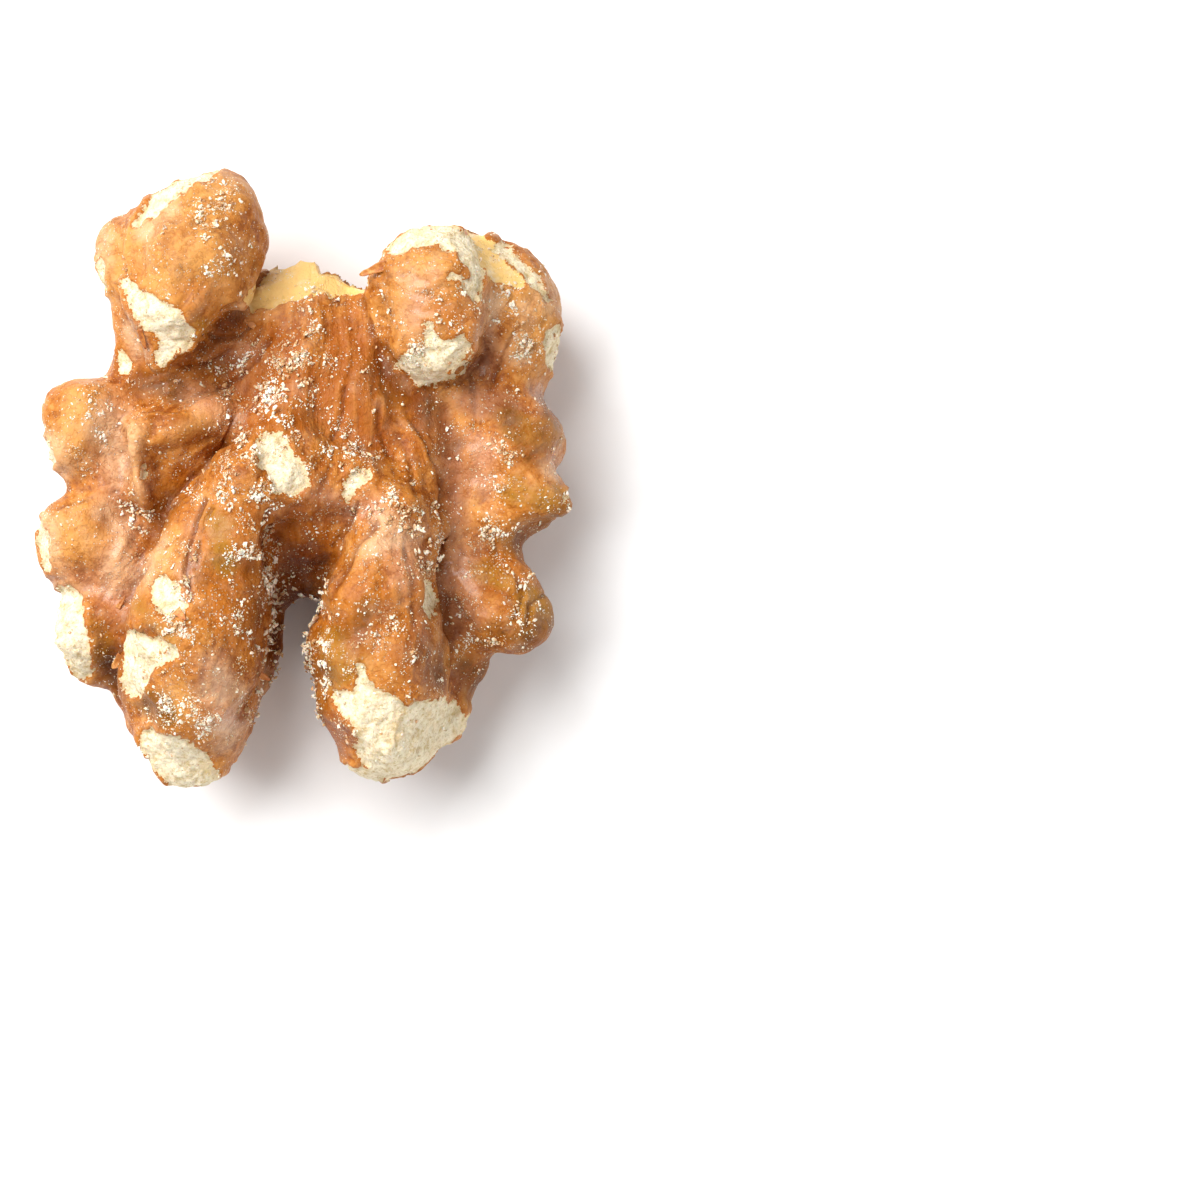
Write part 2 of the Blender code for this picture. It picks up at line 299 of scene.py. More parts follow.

# %% [markdown]
# ## Where the skin is torn off
#
# Roasting makes the skin brittle, and it comes off in patches. Under it the meat
# is chalky and cream, or yellow and a little clear where it broke more deeply.
# Each patch is a mark with a ragged edge. On the rounded back, which the
# photograph hides, noise picks a few worn places on the folds' crests.

# %% The bare patches, given as (x, y, radius)
CHALK = {
    "left_knob_side": [
        (-9.0, 10.0, 0.35), (-8.3, 9.1, 0.6), (-7.2, 8.1, 0.95), (-6.5, 7.4, 0.95), (-6.9, 6.4, 0.45),
        (-7.1, 5.9, 0.3)],
    "left_knob_top": [(-8.3, 13.0, 0.25), (-7.2, 14.3, 0.45), (-5.7, 15.3, 0.5), (-4.5, 15.7, 0.3)],
    "left_far": [(-10.6, 11.0, 0.3), (-10.4, 9.9, 0.15)],
    "right_knob_top": [
        (4.7, 11.7, 0.3), (5.9, 12.4, 0.7), (7.3, 12.5, 0.75), (8.3, 12.1, 0.65), (8.8, 11.3, 0.5),
        (9.0, 10.4, 0.4), (8.9, 9.3, 0.25)],
    "right_knob_notch": [(7.8, 10.3, 0.22), (8.7, 9.8, 0.35)],
    "right_knob_end": [(5.2, 5.8, 0.4), (6.4, 5.6, 0.9), (7.6, 6.2, 0.85), (8.3, 6.8, 0.45)],
    "right_knob_tongue": [(6.6, 7.9, 0.28), (6.8, 6.9, 0.45)],
    "right_far_edge": [(10.2, 12.0, 0.25), (11.3, 11.1, 0.3), (12.0, 10.2, 0.3), (12.5, 9.3, 0.2)],
    "right_far_oval": [(12.9, 7.4, 0.5), (13.0, 6.1, 0.5)],
    "knot": [(-1.4, 1.5, 0.8), (-0.5, 0.1, 1.0)],
    "bridge": [(3.1, 0.0, 0.5), (2.3, -0.8, 0.35)],
    "left_leg_spot": [(-6.9, -5.6, 0.65), (-6.4, -6.5, 0.75)],
    "left_leg_side": [(-8.6, -8.4, 0.7), (-7.7, -8.8, 0.9), (-6.4, -8.9, 0.3)],
    "left_leg_flank": [(-8.2, -9.3, 0.95), (-8.6, -10.5, 0.6)],
    "left_leg_end": [(-7.9, -13.3, 0.6), (-6.9, -14.1, 1.1), (-5.8, -14.9, 1.3), (-4.6, -15.6, 0.6)],
    "right_leg_end": [
        (3.0, -11.6, 0.4), (4.2, -12.2, 1.5), (4.9, -13.6, 2.1), (6.2, -13.0, 1.7), (7.2, -12.2, 0.9)],
    "right_leg_spike": [(3.1, -9.6, 0.2), (3.3, -10.6, 0.5), (3.3, -12.0, 0.9)],
    "right_leg_foot": [(1.9, -15.0, 0.4), (3.4, -15.4, 0.7)],
    "right_leg_left": [(2.1, -11.2, 0.5), (2.9, -11.8, 0.8)],
    "right_leg_strip": [(6.4, -5.2, 0.22), (6.5, -6.4, 0.28), (6.5, -7.0, 0.15)],
    "left_rim_low": [(-12.2, -6.4, 0.9), (-12.1, -8.2, 1.1), (-11.5, -9.8, 0.7)],
    "left_rim_fleck": [(-13.4, 1.7, 0.4), (-13.1, 1.0, 0.35)],
    "left_rim_mid": [(-13.6, -2.4, 0.3), (-13.4, -3.4, 0.4), (-13.2, -4.4, 0.3)],
    "ear_fleck": [(-8.1, 0.8, 0.04), (-8.1, 0.1, 0.06)],
    "ear_top": [(-8.8, 2.9, 0.15), (-8.5, 2.3, 0.1)],
    "bud": [(-9.3, 6.4, 0.3), (-9.15, 5.9, 0.35)],
    "right_rim_fleck": [(13.6, -0.9, 0.15), (13.4, -1.3, 0.15)],
    "right_tail": [(7.9, -12.3, 0.6), (8.3, -12.9, 0.5)],
}
YELLOW = {
    "tip": [(-2.4, 9.2, 0.6), (-1.1, 10.1, 1.1), (0.8, 10.9, 1.4), (2.5, 10.3, 0.9)],
    "right_far": [(8.8, 12.5, 0.6), (9.4, 11.6, 0.75), (10.3, 10.6, 0.6), (11.2, 10.0, 0.35)],
}
PATCH_DEPTH = 0.16
EDGE_WANDER = 0.32


def ragged(points, seed):
    """A wandering of patch edges, coarse and fine."""
    return EDGE_WANDER * (0.7 * noise(points, 1.1, seed) + 0.5 * noise(points, 0.45, seed + 1))


below = 1 - shown
worn = 1.44 * (noise(places, 5.5, 31) - 0.62) + 0.56 * (noise(places, 1.6, 32) - 0.3)
chalk = np.where(shown > 0.5, marks(places, CHALK.values()), worn) + ragged(places, 33)
yellow = np.where(shown > 0.5, marks(places, YELLOW.values()), -1.0) + ragged(places, 36)
print("bare share of the surface:", round(float(np.mean(np.maximum(chalk, yellow) > 0)), 3))

# %% [markdown]
# ## Broken faces
#
# Where a piece has snapped off, the meat ends in a nearly flat face with sharp
# edges, which wrinkled noise never gives. So we cut: near each broken place, all
# that stands above a tilted plane comes down to that plane. The tip's far edge is
# broken too, along a jagged line across the table.

# %% Planes that cut the broken places, and the tip's jagged edge
# A facet is the centre (x, y), the reach, the slope along x and y, and the depth.
FACETS = {
    "left_knob_side": ((-7.3, 8.0), 1.7, (0.55, 0.25), 0.22),
    "left_leg_side": ((-7.9, -8.6), 1.1, (0.1, -0.5), 0.25),
    "left_leg_flank": ((-8.5, -9.9), 1.0, (0.7, 0.35), 0.25),
    "left_leg_spot": ((-6.6, -6.1), 0.9, (0.25, 0.1), 0.18),
    "knot": ((-0.9, 0.8), 1.3, (0.1, -0.15), 0.2),
    "right_leg_end": ((4.6, -13.2), 1.9, (-0.05, 0.35), 0.25),
    "right_knob_end": ((7.2, 6.3), 1.3, (0.1, 0.35), 0.25),
    "right_knob_top": ((6.9, 12.4), 1.2, (0.0, -0.5), 0.2),
    "left_rim_low": ((-12.1, -8.0), 1.5, (0.5, 0.05), 0.2),
    "tip_left": ((-1.9, 9.8), 1.3, (0.3, -0.35), 0.25),
    "tip_right": ((1.7, 10.3), 1.1, (-0.35, -0.3), 0.3),
}
FACET_DEEPEST = 0.7
FACET_EDGE = 0.35
TIP_JAGS = 0.15
TIP_EDGE = [
    (-1.4, 11.0), (-1.0, 10.9), (-0.2, 11.4), (0.7, 11.3), (0.9, 10.7), (1.7, 10.6), (2.4, 10.0), (3.2, 9.9)]
TIP_SIDES = (-1.35, 3.4)
TIP_REACH = (8.0, 12.4)


def facet_cut(points, centre, reach, slope, depth):
    """Height above a plane that passes so deep under the surface at the centre and rises by
    the slope along x and y. It counts within the reach, and fades at its edge."""
    offset = points[:, :2] - centre
    base = read_map(heights, map_low, np.array([[*centre, 0.0]]))[0] - depth
    near = smooth_step(reach - np.hypot(*offset.T) + 0.3 * noise(points, 0.8, 21), -FACET_EDGE, FACET_EDGE)
    return near * np.clip(points[:, 2] - base - offset @ slope, 0.0, FACET_DEEPEST)


cut = np.max([facet_cut(places, *facet) for facet in FACETS.values()], axis=0) * shown
places[:, 2] -= cut
tip_line = np.interp(places[:, 0], *np.array(TIP_EDGE).T) + TIP_JAGS * noise(places, 0.7, 22)
tip_low, tip_high = zip(TIP_SIDES, TIP_REACH)
at_tip = np.all((places[:, :2] > tip_low) & (places[:, :2] < tip_high), axis=1)
over_tip = np.where(at_tip, np.maximum(places[:, 1] - tip_line, 0.0), 0.0)
places[:, 1] -= over_tip
yellow = np.maximum(yellow, np.where(over_tip > 0.05, 0.4, -1.0))
move_corners(kernel_mesh, places)
normals = normals_of(kernel_mesh)
print("deepest cut in mm:", round(float(cut.max()), 2), "and at the tip:", round(float(over_tip.max()), 2))

# %% [markdown]
# ## Creases, swells, steps and wrinkles
#
# The skin has a few sharp creases where it folded while the nut dried. A crease is
# a mark again, now used for its distance alone: a narrow groove with a raised lip
# on both sides. A swell is a soft bump or dip. Where one lobe grew over its
# neighbour, as at the knobs' feet, the edge is a step instead: high on one side,
# and low with a slow climb on the other. Much finer wrinkles run in bundles, each
# with its own direction: down the roof, out of the valleys and along the legs.
# They are ridged noise on points that are squeezed across the bundle's direction.

# %% The creases, swells, steps and wrinkles
# A crease is its half width, its depth and a path of (x, y).
CREASES = {
    "left_leg": (0.15, 0.2, [(-4.8, -1.1), (-5.35, -2.6), (-5.6, -3.8), (-5.7, -5.0), (-5.4, -6.2)]),
    "right_leg_top": (0.2, 0.14, [(3.9, -2.4), (2.9, -3.4), (2.2, -4.8), (1.6, -6.2)]),
    "left_leg_twin": (0.13, 0.14, [(-4.5, -1.6), (-5.0, -2.9), (-5.25, -4.6)]),
    "left_rim": (0.12, 0.1, [(-12.6, -1.5), (-11.6, -1.15), (-10.4, -1.0), (-9.6, -0.6)]),
    "left_long": (0.12, 0.1, [(-8.3, -2.4), (-8.85, -3.4), (-9.7, -4.6), (-10.4, -5.6)]),
    "left_short": (0.13, 0.08, [(-9.0, -4.2), (-9.7, -5.2), (-10.6, -6.6)]),
    "left_third": (0.12, 0.06, [(-6.8, -4.6), (-8.0, -4.7), (-8.9, -5.6)]),
    "knob_flank": (0.14, 0.12, [(3.0, 9.2), (3.5, 7.8), (3.9, 6.4), (4.3, 5.4)]),
    "knob_fold": (0.13, 0.07, [(3.4, 10.6), (4.6, 10.2), (5.6, 10.4), (6.6, 9.9)]),
    "knob_fold_low": (0.12, 0.05, [(4.2, 9.9), (5.4, 9.4), (6.6, 9.3), (7.6, 8.7)]),
    "ledge_twin": (0.14, 0.09, [(4.9, 2.4), (5.6, 0.8), (5.9, -0.8)]),
    "fan_rib": (0.12, 0.1, [(-6.4, 6.3), (-5.2, 6.5), (-4.0, 7.4)]),
    "fan_rib_low": (0.12, 0.1, [(-5.9, 5.7), (-4.8, 5.9), (-3.6, 6.8)]),
    "right_leg_streak": (0.14, 0.08, [(5.4, -3.6), (5.75, -5.2), (5.7, -6.6), (6.0, -8.0)]),
    "wing_low": (0.13, 0.12, [(9.4, -1.8), (9.7, -2.8), (10.0, -3.8)]),
    "wing_high": (0.13, 0.12, [(10.9, 7.6), (10.2, 6.2), (9.6, 4.6)]),
    "wing_mid": (0.13, 0.1, [(8.6, 5.6), (8.9, 4.0), (8.7, 2.2)]),
    "roof_left": (0.14, 0.2, [(-2.6, 7.9), (-3.2, 7.3), (-4.5, 7.2)]),
    "roof_fold": (0.14, 0.14, [(-1.6, 7.2), (-2.6, 5.8), (-3.9, 4.8)]),
    "roof_dark": (0.14, 0.16, [(2.2, 4.6), (2.1, 3.2), (1.6, 1.9)]),
    "roof_dark_twin": (0.14, 0.14, [(4.0, 3.9), (3.9, 2.6), (4.4, 1.2)]),
    "wall": (0.14, 0.16, [(-1.6, -1.6), (-1.9, -3.2), (-1.7, -4.8)]),
    "wall_right": (0.14, 0.14, [(2.9, -1.3), (2.4, -2.4), (1.6, -3.4)]),
    "left_leg_low": (0.14, 0.05, [(-4.3, -8.6), (-4.9, -10.2), (-4.4, -12.4)]),
    "right_lobe": (0.14, 0.12, [(12.4, -5.9), (11.7, -6.4), (11.6, -7.4)]),
    "right_lobe_back": (0.14, 0.1, [(11.0, -4.9), (11.3, -6.0), (10.9, -7.2)]),
}
# A swell is its width, its height and a path of (x, y).
SWELLS = {
    "right_valley": (0.75, -0.24, [(6.9, 4.0), (7.6, 2.4), (7.8, 0.6), (7.8, -0.8)]),
    "ear_end": (1.1, 0.75, [(-5.4, 2.0), (-4.2, 2.6)]),
    "ear_middle": (1.0, 0.35, [(-6.9, 1.2), (-6.0, 1.2)]),
    "ear_foot": (0.9, 0.3, [(-6.6, 0.4), (-6.4, -0.4)]),
    "ear_rim": (0.35, 0.25, [(-8.5, 2.6), (-8.35, 1.2), (-8.2, 0.0), (-7.9, -1.2)]),
    "right_leg_pit": (0.55, 0.7, [(7.2, -2.5), (7.35, -3.5)]),
    "left_top": (0.8, 0.3, [(-10.2, 3.2), (-10.1, 0.8)]),
    "left_middle": (0.8, 0.3, [(-10.0, -1.4), (-9.8, -2.2)]),
    "left_valley": (0.8, 0.4, [(-9.1, -2.9), (-9.4, -5.0)]),
    "tip_root": (0.6, 0.7, [(-2.8, 8.9), (-2.2, 9.4)]),
}
# A step is its width, its reach and a path of (x, y, depth), with the low side right of it.
STEPS = {
    "left_far": (0.16, 1.3, [(-8.2, 14.1, 0.15), (-8.8, 12.9, 0.4), (-9.1, 11.4, 0.5), (-8.9, 10.2, 0.2)]),
    "left_leg_edge": (0.26, 1.1, [
        (-2.8, 1.8, 0.1), (-4.4, 0.7, 0.4), (-5.7, -0.1, 0.5), (-6.8, -1.7, 0.6), (-7.3, -3.0, 0.4),
        (-7.7, -4.6, 0.22), (-8.3, -5.6, 0.22), (-8.9, -6.9, 0.35), (-9.2, -8.2, 0.5), (-9.4, -9.6, 0.5),
        (-9.4, -11.0, 0.3), (-8.8, -12.5, 0.0)]),
    "ear_outside": (0.2, 0.5, [
        (-4.6, 4.5, 0.0), (-5.4, 3.9, 0.2), (-6.3, 3.4, 0.2), (-7.6, 3.5, 0.2), (-8.6, 2.9, 0.2),
        (-8.9, 1.6, 0.2), (-8.6, -0.4, 0.2), (-8.3, -2.0, 0.0)]),
    "ear_inside": (0.3, 1.2, [
        (-8.0, -1.8, 0.0), (-8.2, 0.0, 0.12), (-8.3, 1.4, 0.2), (-7.6, 2.8, 0.15), (-6.2, 3.0, 0.0)]),
    "valley_edge": (0.22, 1.0, [
        (7.5, -11.4, 0.0), (7.6, -8.7, 0.4), (7.1, -7.1, 0.45), (6.9, -5.0, 0.4), (6.8, -2.5, 0.2),
        (7.0, -1.0, 0.2), (6.9, 0.5, 0.28), (6.3, 1.9, 0.34), (5.6, 2.9, 0.3), (5.2, 3.8, 0.0)]),
    "right_knob_foot": (0.26, 0.8, [
        (3.2, 9.6, 0.0), (3.9, 7.4, 0.3), (5.0, 5.6, 0.5), (6.1, 4.6, 0.5), (8.0, 5.2, 0.45), (9.2, 6.5, 0.3),
        (9.3, 9.4, 0.2), (8.8, 11.6, 0.0)]),
    "left_knob_foot": (0.26, 0.8, [
        (-7.4, 5.4, 0.0), (-6.4, 6.0, 0.4), (-5.4, 6.7, 0.45), (-4.6, 7.7, 0.4), (-4.0, 8.6, 0.35),
        (-2.7, 9.7, 0.2), (-1.8, 10.4, 0.0)]),
}
# A bundle of wrinkles is its direction in degrees, its strength and a mark.
WRINKLES = {
    "roof": (88, 1.0, [(0.6, 9.2, 1.6), (1.0, 6.5, 3.0), (0.9, 3.0, 3.4)]),
    "roof_left": (60, 0.8, [(-3.0, 7.0, 1.0), (-3.6, 5.0, 1.4), (-3.2, 3.2, 1.0)]),
    "fan": (8, 1.0, [(-7.4, 5.2, 0.8), (-5.0, 5.3, 0.9), (-3.6, 6.6, 0.8)]),
    "wall": (84, 0.9, [(-0.6, -2.0, 2.0), (0.0, -4.6, 1.8)]),
    "left_valley": (58, 0.5, [(-8.5, -2.4, 0.8), (-9.5, -4.5, 1.3), (-10.2, -6.2, 0.9)]),
    "left_valley_top": (80, 0.6, [(-9.9, 3.4, 0.8), (-9.8, 0.2, 0.8)]),
    "right_valley": (88, 0.6, [(7.8, 4.0, 1.0), (8.0, 0.0, 1.1), (8.0, -4.0, 1.1), (8.4, -8.0, 1.0)]),
    "left_leg": (82, 0.6, [(-4.8, -2.4, 1.4), (-5.1, -7.0, 2.0), (-5.2, -12.0, 1.7)]),
    "right_leg": (84, 0.6, [(4.9, -3.0, 1.2), (4.2, -6.4, 2.0), (4.3, -9.6, 2.2)]),
    "left_knob": (62, 0.7, [(-4.8, 13.6, 1.7), (-5.4, 10.6, 1.9)]),
    "right_knob": (30, 0.6, [(6.2, 9.6, 1.7), (6.6, 8.2, 1.5)]),
    "left_upper": (-20, 0.6, [(-11.2, 2.6, 1.8)]),
    "left_middle": (18, 0.6, [(-11.4, -3.3, 1.8)]),
    "right_upper": (28, 0.6, [(10.2, 1.6, 1.6), (12.0, 2.0, 1.2)]),
    "right_middle": (-28, 0.6, [(10.6, -0.4, 1.2), (12.6, -1.0, 1.0)]),
    "right_lower": (-30, 0.6, [(9.6, -5.6, 1.4), (11.2, -6.8, 1.4)]),
    "right_far": (70, 0.6, [(9.8, 9.4, 1.4), (11.8, 8.4, 1.4), (11.4, 5.8, 1.0)]),
    "ear": (66, 0.5, [(-6.4, 1.2, 1.3), (-6.6, -1.0, 1.0)]),
}
WRINKLE_SIZES = (0.5, 4.0, 1.6)
BUNDLE_EDGE = (-0.9, 0.5)


def crease_relief(points, width, depth, path):
    """A groove as deep as asked, with lips a third as high at twice its width."""
    away = -mark(points, [(x, y, 0.0) for x, y in path]) + 0.12 * noise(points, 0.9, 51)
    groove = np.exp(-((away / width) ** 2))
    lips = np.exp(-(((np.abs(away) - 2 * width) / width) ** 2))
    return depth * (0.35 * lips - groove)


def swell_relief(points, width, height, path):
    """A bump along a path, as high as asked at the path and falling off as a bell over the width."""
    away = mark(points, [(x, y, 0.0) for x, y in path])
    return height * np.exp(-((away / width) ** 2))


def step_relief(points, width, reach, path):
    """Right of the path, the surface drops by the path's depth within the width and climbs back over
    the reach. Left of it, a lip stands up a quarter as high."""
    knots = np.array(path, float)
    nearest = np.full(len(points), np.inf)
    side, depth = np.zeros((2, len(points)))
    for start, end in zip(knots[:-1], knots[1:]):
        step = end - start
        offset = points[:, :2] - start[:2]
        along = np.clip(offset @ step[:2] / (step[:2] @ step[:2]), 0.0, 1.0)
        away = np.hypot(*(offset - along[:, None] * step[:2]).T)
        closer = away < nearest
        nearest = np.where(closer, away, nearest)
        side = np.where(closer, np.sign(offset[:, 0] * step[1] - offset[:, 1] * step[0]), side)
        depth = np.where(closer, start[2] + step[2] * along, depth)
    right = nearest * side + 0.1 * noise(points, 0.9, 53)
    drop = smooth_step(right, -0.5 * width, 0.5 * width) * np.exp(-np.maximum(right, 0.0) / reach)
    lip = np.exp(-(((right + width) / width) ** 2))
    return depth * (0.25 * lip - drop)


def wrinkle_relief(points, degrees, strength, path, seed):
    """Thin crests along a direction: ridged noise, with points divided by the wrinkles'
    width across, their length along, and their reach in height."""
    angle = np.radians(degrees)
    bend = 0.5 * noise(points, 2.6, seed + 2)
    along = points[:, 0] * np.cos(angle) + points[:, 1] * np.sin(angle)
    across = points[:, 1] * np.cos(angle) - points[:, 0] * np.sin(angle) + bend
    squeezed = np.stack([across, along, points[:, 2]], axis=1) / WRINKLE_SIZES
    inside = smooth_step(mark(points, path), *BUNDLE_EDGE)
    return strength * inside * (ridges(squeezed, 1.0, seed) + 0.4 * ridges(squeezed * 0.5, 1.0, seed + 1))


creases = sum(crease_relief(places, *crease) for crease in CREASES.values()) * shown
steps = sum(step_relief(places, *step) for step in STEPS.values()) * shown
swells = sum(swell_relief(places, *swell) for swell in SWELLS.values()) * shown
bundles = [wrinkle_relief(places, *bundle, 60 + 3 * k) for k, bundle in enumerate(WRINKLES.values())]
wrinkles = np.max(bundles, axis=0) * shown
back_folds = ridges(places * (1.0, 1.0, 0.5), 1.9, 55) + 0.5 * ridges(places * (1.0, 1.0, 0.5), 0.9, 56)
wrinkles += below * 0.6 * back_folds
deepest = [round(float(-relief.min()), 2) for relief in (creases, steps)]
print("deepest crease and step in mm:", deepest, "wrinkles up to", round(float(wrinkles.max()), 2))

# %% [markdown]
# ## All of the relief together
#
# Skin is gently lumpy at every scale. Bare meat lies a skin's thickness lower and
# is grainy like dry cheese, and the skin's torn edge stands up a little round it.
# The sum moves each corner along its normal.

# %% Move the corners along their normals
WRINKLE_HEIGHT = 0.12
LIP_HEIGHT = 0.08
SKIN_LUMPS = ((0.13, 2.3), (0.07, 1.1), (0.05, 0.5))
DIMPLE_HEIGHT = 0.05
PATCH_EDGE = (-0.06, 0.12)
dry = smooth_step(chalk, *PATCH_EDGE)
bare = np.maximum(dry, smooth_step(yellow, *PATCH_EDGE))
edge_lip = np.exp(-(((np.maximum(chalk, yellow) + 0.2) / 0.13) ** 2))
chalk_grain = 0.2 * np.abs(noise(places, 1.0, 41)) + 0.16 * np.abs(noise(places, 0.5, 42)) - 0.08
yellow_grain = 0.06 * noise(places, 1.4, 47)
skin_relief = sum(height * noise(places, size, 43 + k) for k, (height, size) in enumerate(SKIN_LUMPS))
skin_relief -= DIMPLE_HEIGHT * ridges(places, 1.5, 46)
meat_relief = dry * chalk_grain + (1 - dry) * yellow_grain - PATCH_DEPTH
skin_lift = skin_relief + creases + WRINKLE_HEIGHT * wrinkles
lift = (1 - bare) * skin_lift + bare * meat_relief + steps + swells + LIP_HEIGHT * edge_lip
places += normals * lift[:, None]
cad_box = np.array([cad_low, cad_high]) / MM
places = np.clip(places, *cad_box)
move_corners(kernel_mesh, places)
normals = normals_of(kernel_mesh)
print("relief from", round(float(lift.min()), 2), "to", round(float(lift.max()), 2), "mm")

# %% [markdown]
# ## Colour zones as attributes
#
# The material needs to know where it is: deep in a crease, on a crest, in the
# glossy valleys, or where the meat shines through the skin like amber. Several
# zones also paint light and shade into the colour: shade in creases, in hollows and
# on sides turned from the light, light on sides turned to it, and a pale sheen in
# the glossy valleys. Each of those is one number at each corner, kept as a named
# attribute of the mesh.

# %% Zones of colour, each a set of marks of (x, y, radius)
AMBER = {
    "ear": [(-6.2, 0.2, 0.7), (-6.7, -0.8, 0.8), (-7.1, -1.8, 0.6)],
    "left_leg": [(-4.2, -2.2, 1.0), (-4.1, -4.8, 1.2), (-3.6, -7.0, 1.0)],
    "wall": [(0.4, -2.0, 1.0), (0.4, -3.6, 0.9)],
    "left_leg_side": [(-8.0, -6.9, 0.5), (-7.4, -7.7, 0.5)],
    "right_leg": [(3.6, -6.4, 1.1), (2.9, -7.6, 1.2), (2.0, -8.2, 0.9)],
    "right_leg_flank": [(1.2, -10.0, 0.4), (1.4, -13.0, 0.5)],
    "right_knob": [(7.2, 8.7, 0.7), (7.9, 8.2, 0.6)],
    "right_knob_foot": [(4.4, 4.8, 0.8), (5.2, 4.2, 0.5)],
    "left_knob": [(-5.2, 9.2, 0.9), (-3.9, 9.4, 0.5)],
    "left_knob_foot": [(-6.4, 5.6, 0.5), (-5.4, 6.2, 0.5), (-3.6, 7.6, 0.3)],
    "left_valley": [(-9.6, -1.9, 0.4), (-10.2, -2.4, 0.3)],
}
OLIVE = {
    "window": [(1.7, -8.7, 0.9), (2.1, -9.6, 1.0), (1.5, -10.6, 0.5)],
    "right_low": [(11.6, -6.4, 0.8), (12.6, -7.0, 0.8)],
    "right_mid": [(11.2, -0.4, 0.8), (12.8, -1.2, 0.7)],
    "right_upper": [(11.0, 2.5, 0.8), (12.4, 2.4, 0.9)],
    "left_low": [(-10.6, -7.6, 0.5), (-10.1, -9.0, 0.6)],
    "left_leg_side": [(-8.0, -6.7, 0.5), (-7.3, -7.4, 0.4), (-6.5, -7.9, 0.3)],
    "left_leg_foot": [(-7.9, -11.4, 0.5), (-6.8, -12.2, 0.5)],
    "left_knob_under": [(-5.8, 6.8, 0.25), (-5.0, 7.8, 0.25)],
    "right_low_top": [(9.4, -4.6, 0.4), (10.4, -5.2, 0.4)],
    "left_leg": [(-4.3, -2.2, 0.7), (-4.0, -4.0, 0.6)],
}
# Glossy valleys. Their colour is a painted sheen: the light's reflection painted pale into the skin. The same
# zone also lowers roughness, adds coat and keeps crumbs sparser.
GLOSS_AND_PAINTED_SHEEN = {
    "right": [(9.2, 9.6, 0.5), (9.6, 7.4, 0.5), (9.4, 5.6, 0.4)],
    "right_lobe": [(9.2, 1.4, 0.6), (9.3, 0.1, 0.6)],
    "right_low": [(8.4, -3.2, 0.5), (8.0, -5.2, 0.6), (8.4, -6.8, 0.7)],
    "right_neck": [(12.9, 0.5, 0.4), (12.0, 4.6, 0.4)],
    "left": [(-9.8, 3.8, 0.7), (-10.0, 0.4, 0.6), (-9.2, -2.8, 0.8), (-9.4, -4.8, 1.2), (-9.7, -6.2, 0.7)],
    "left_low": [(-12.2, -5.0, 0.5), (-11.0, -5.2, 0.6)],
    "ear_above": [(-6.2, 4.5, 0.4), (-4.6, 3.9, 0.7), (-3.8, 3.0, 0.5)],
    "left_leg_low": [(-4.4, -9.8, 0.8), (-4.0, -12.0, 0.9)],
    "fan": [(-4.4, 6.3, 0.3), (-2.9, 6.8, 0.3)],
    "left_leg_crease": [(-5.4, -2.8, 0.2), (-5.5, -5.6, 0.2)],
    "right_leg_top": [(5.0, -3.4, 0.8), (5.2, -5.0, 0.5)],
    "bridge": [(0.8, -1.0, 0.6), (3.4, -1.6, 0.5)],
    "right_knob": [(6.2, 9.6, 0.7), (5.9, 8.2, 0.7)],
}
# Golden skin. On the left lobes, which face the light, and on the left knob's shaded lower right it is
# painted light.
GOLDEN_AND_PAINTED_LIGHT = {
    "left_knob": [(-4.4, 14.4, 1.2), (-5.8, 12.4, 2.2), (-6.0, 10.4, 1.8), (-4.2, 9.6, 0.8)],
    "left_far": [(-9.6, 11.6, 1.4), (-10.0, 10.0, 1.0)],
    "left_upper": [(-11.0, 2.8, 1.9), (-12.4, 2.0, 1.2), (-10.2, 2.0, 0.8)],
    "left_middle": [(-11.0, -2.6, 1.6), (-12.4, -3.2, 1.4), (-9.9, -1.8, 0.7)],
    "left_leg": [(-6.6, -3.4, 0.9), (-7.2, -5.2, 0.8)],
    "left_leg_low": [(-6.2, -11.4, 0.8)],
    "right_knob": [(6.4, 10.4, 1.6), (6.0, 8.2, 1.4), (4.6, 8.2, 0.6)],
    "right_far": [(11.4, 9.2, 1.6), (12.2, 7.4, 1.2)],
    "ear": [(-8.5, 2.4, 0.5), (-8.4, 0.6, 0.3)],
    "ear_end": [(-5.8, 2.5, 0.4), (-4.8, 2.5, 0.6)],
}
# Red-brown skin. The marks on the right lower lobe and at the left knob's foot are painted shade: a side
# turned from the light, and the knob's shadow.
RUSSET_AND_PAINTED_SHADE = {
    "roof": [(-2.0, 6.6, 1.4), (-1.6, 3.6, 1.6), (2.4, 4.4, 2.0), (3.4, 2.2, 1.6), (2.2, 7.4, 1.2)],
    "wall": [(-0.6, -1.8, 1.5), (0.2, -3.2, 1.4)],
    "ledge": [(5.8, 3.6, 0.7), (5.9, 1.4, 0.5)],
    "right_leg": [(6.1, -6.0, 0.6), (6.2, -8.2, 0.8), (5.4, -9.4, 0.8)],
    "right_lower": [(10.0, -5.2, 1.1), (11.4, -6.0, 1.0)],
    "left_low": [(-9.8, -7.0, 0.7), (-9.7, -9.4, 0.9)],
    "left_knob_foot": [(-8.2, 7.0, 0.3), (-7.6, 5.0, 0.6)],
    "left_leg_edge": [(-2.7, -3.0, 0.4), (-2.6, -8.0, 0.4)],
}
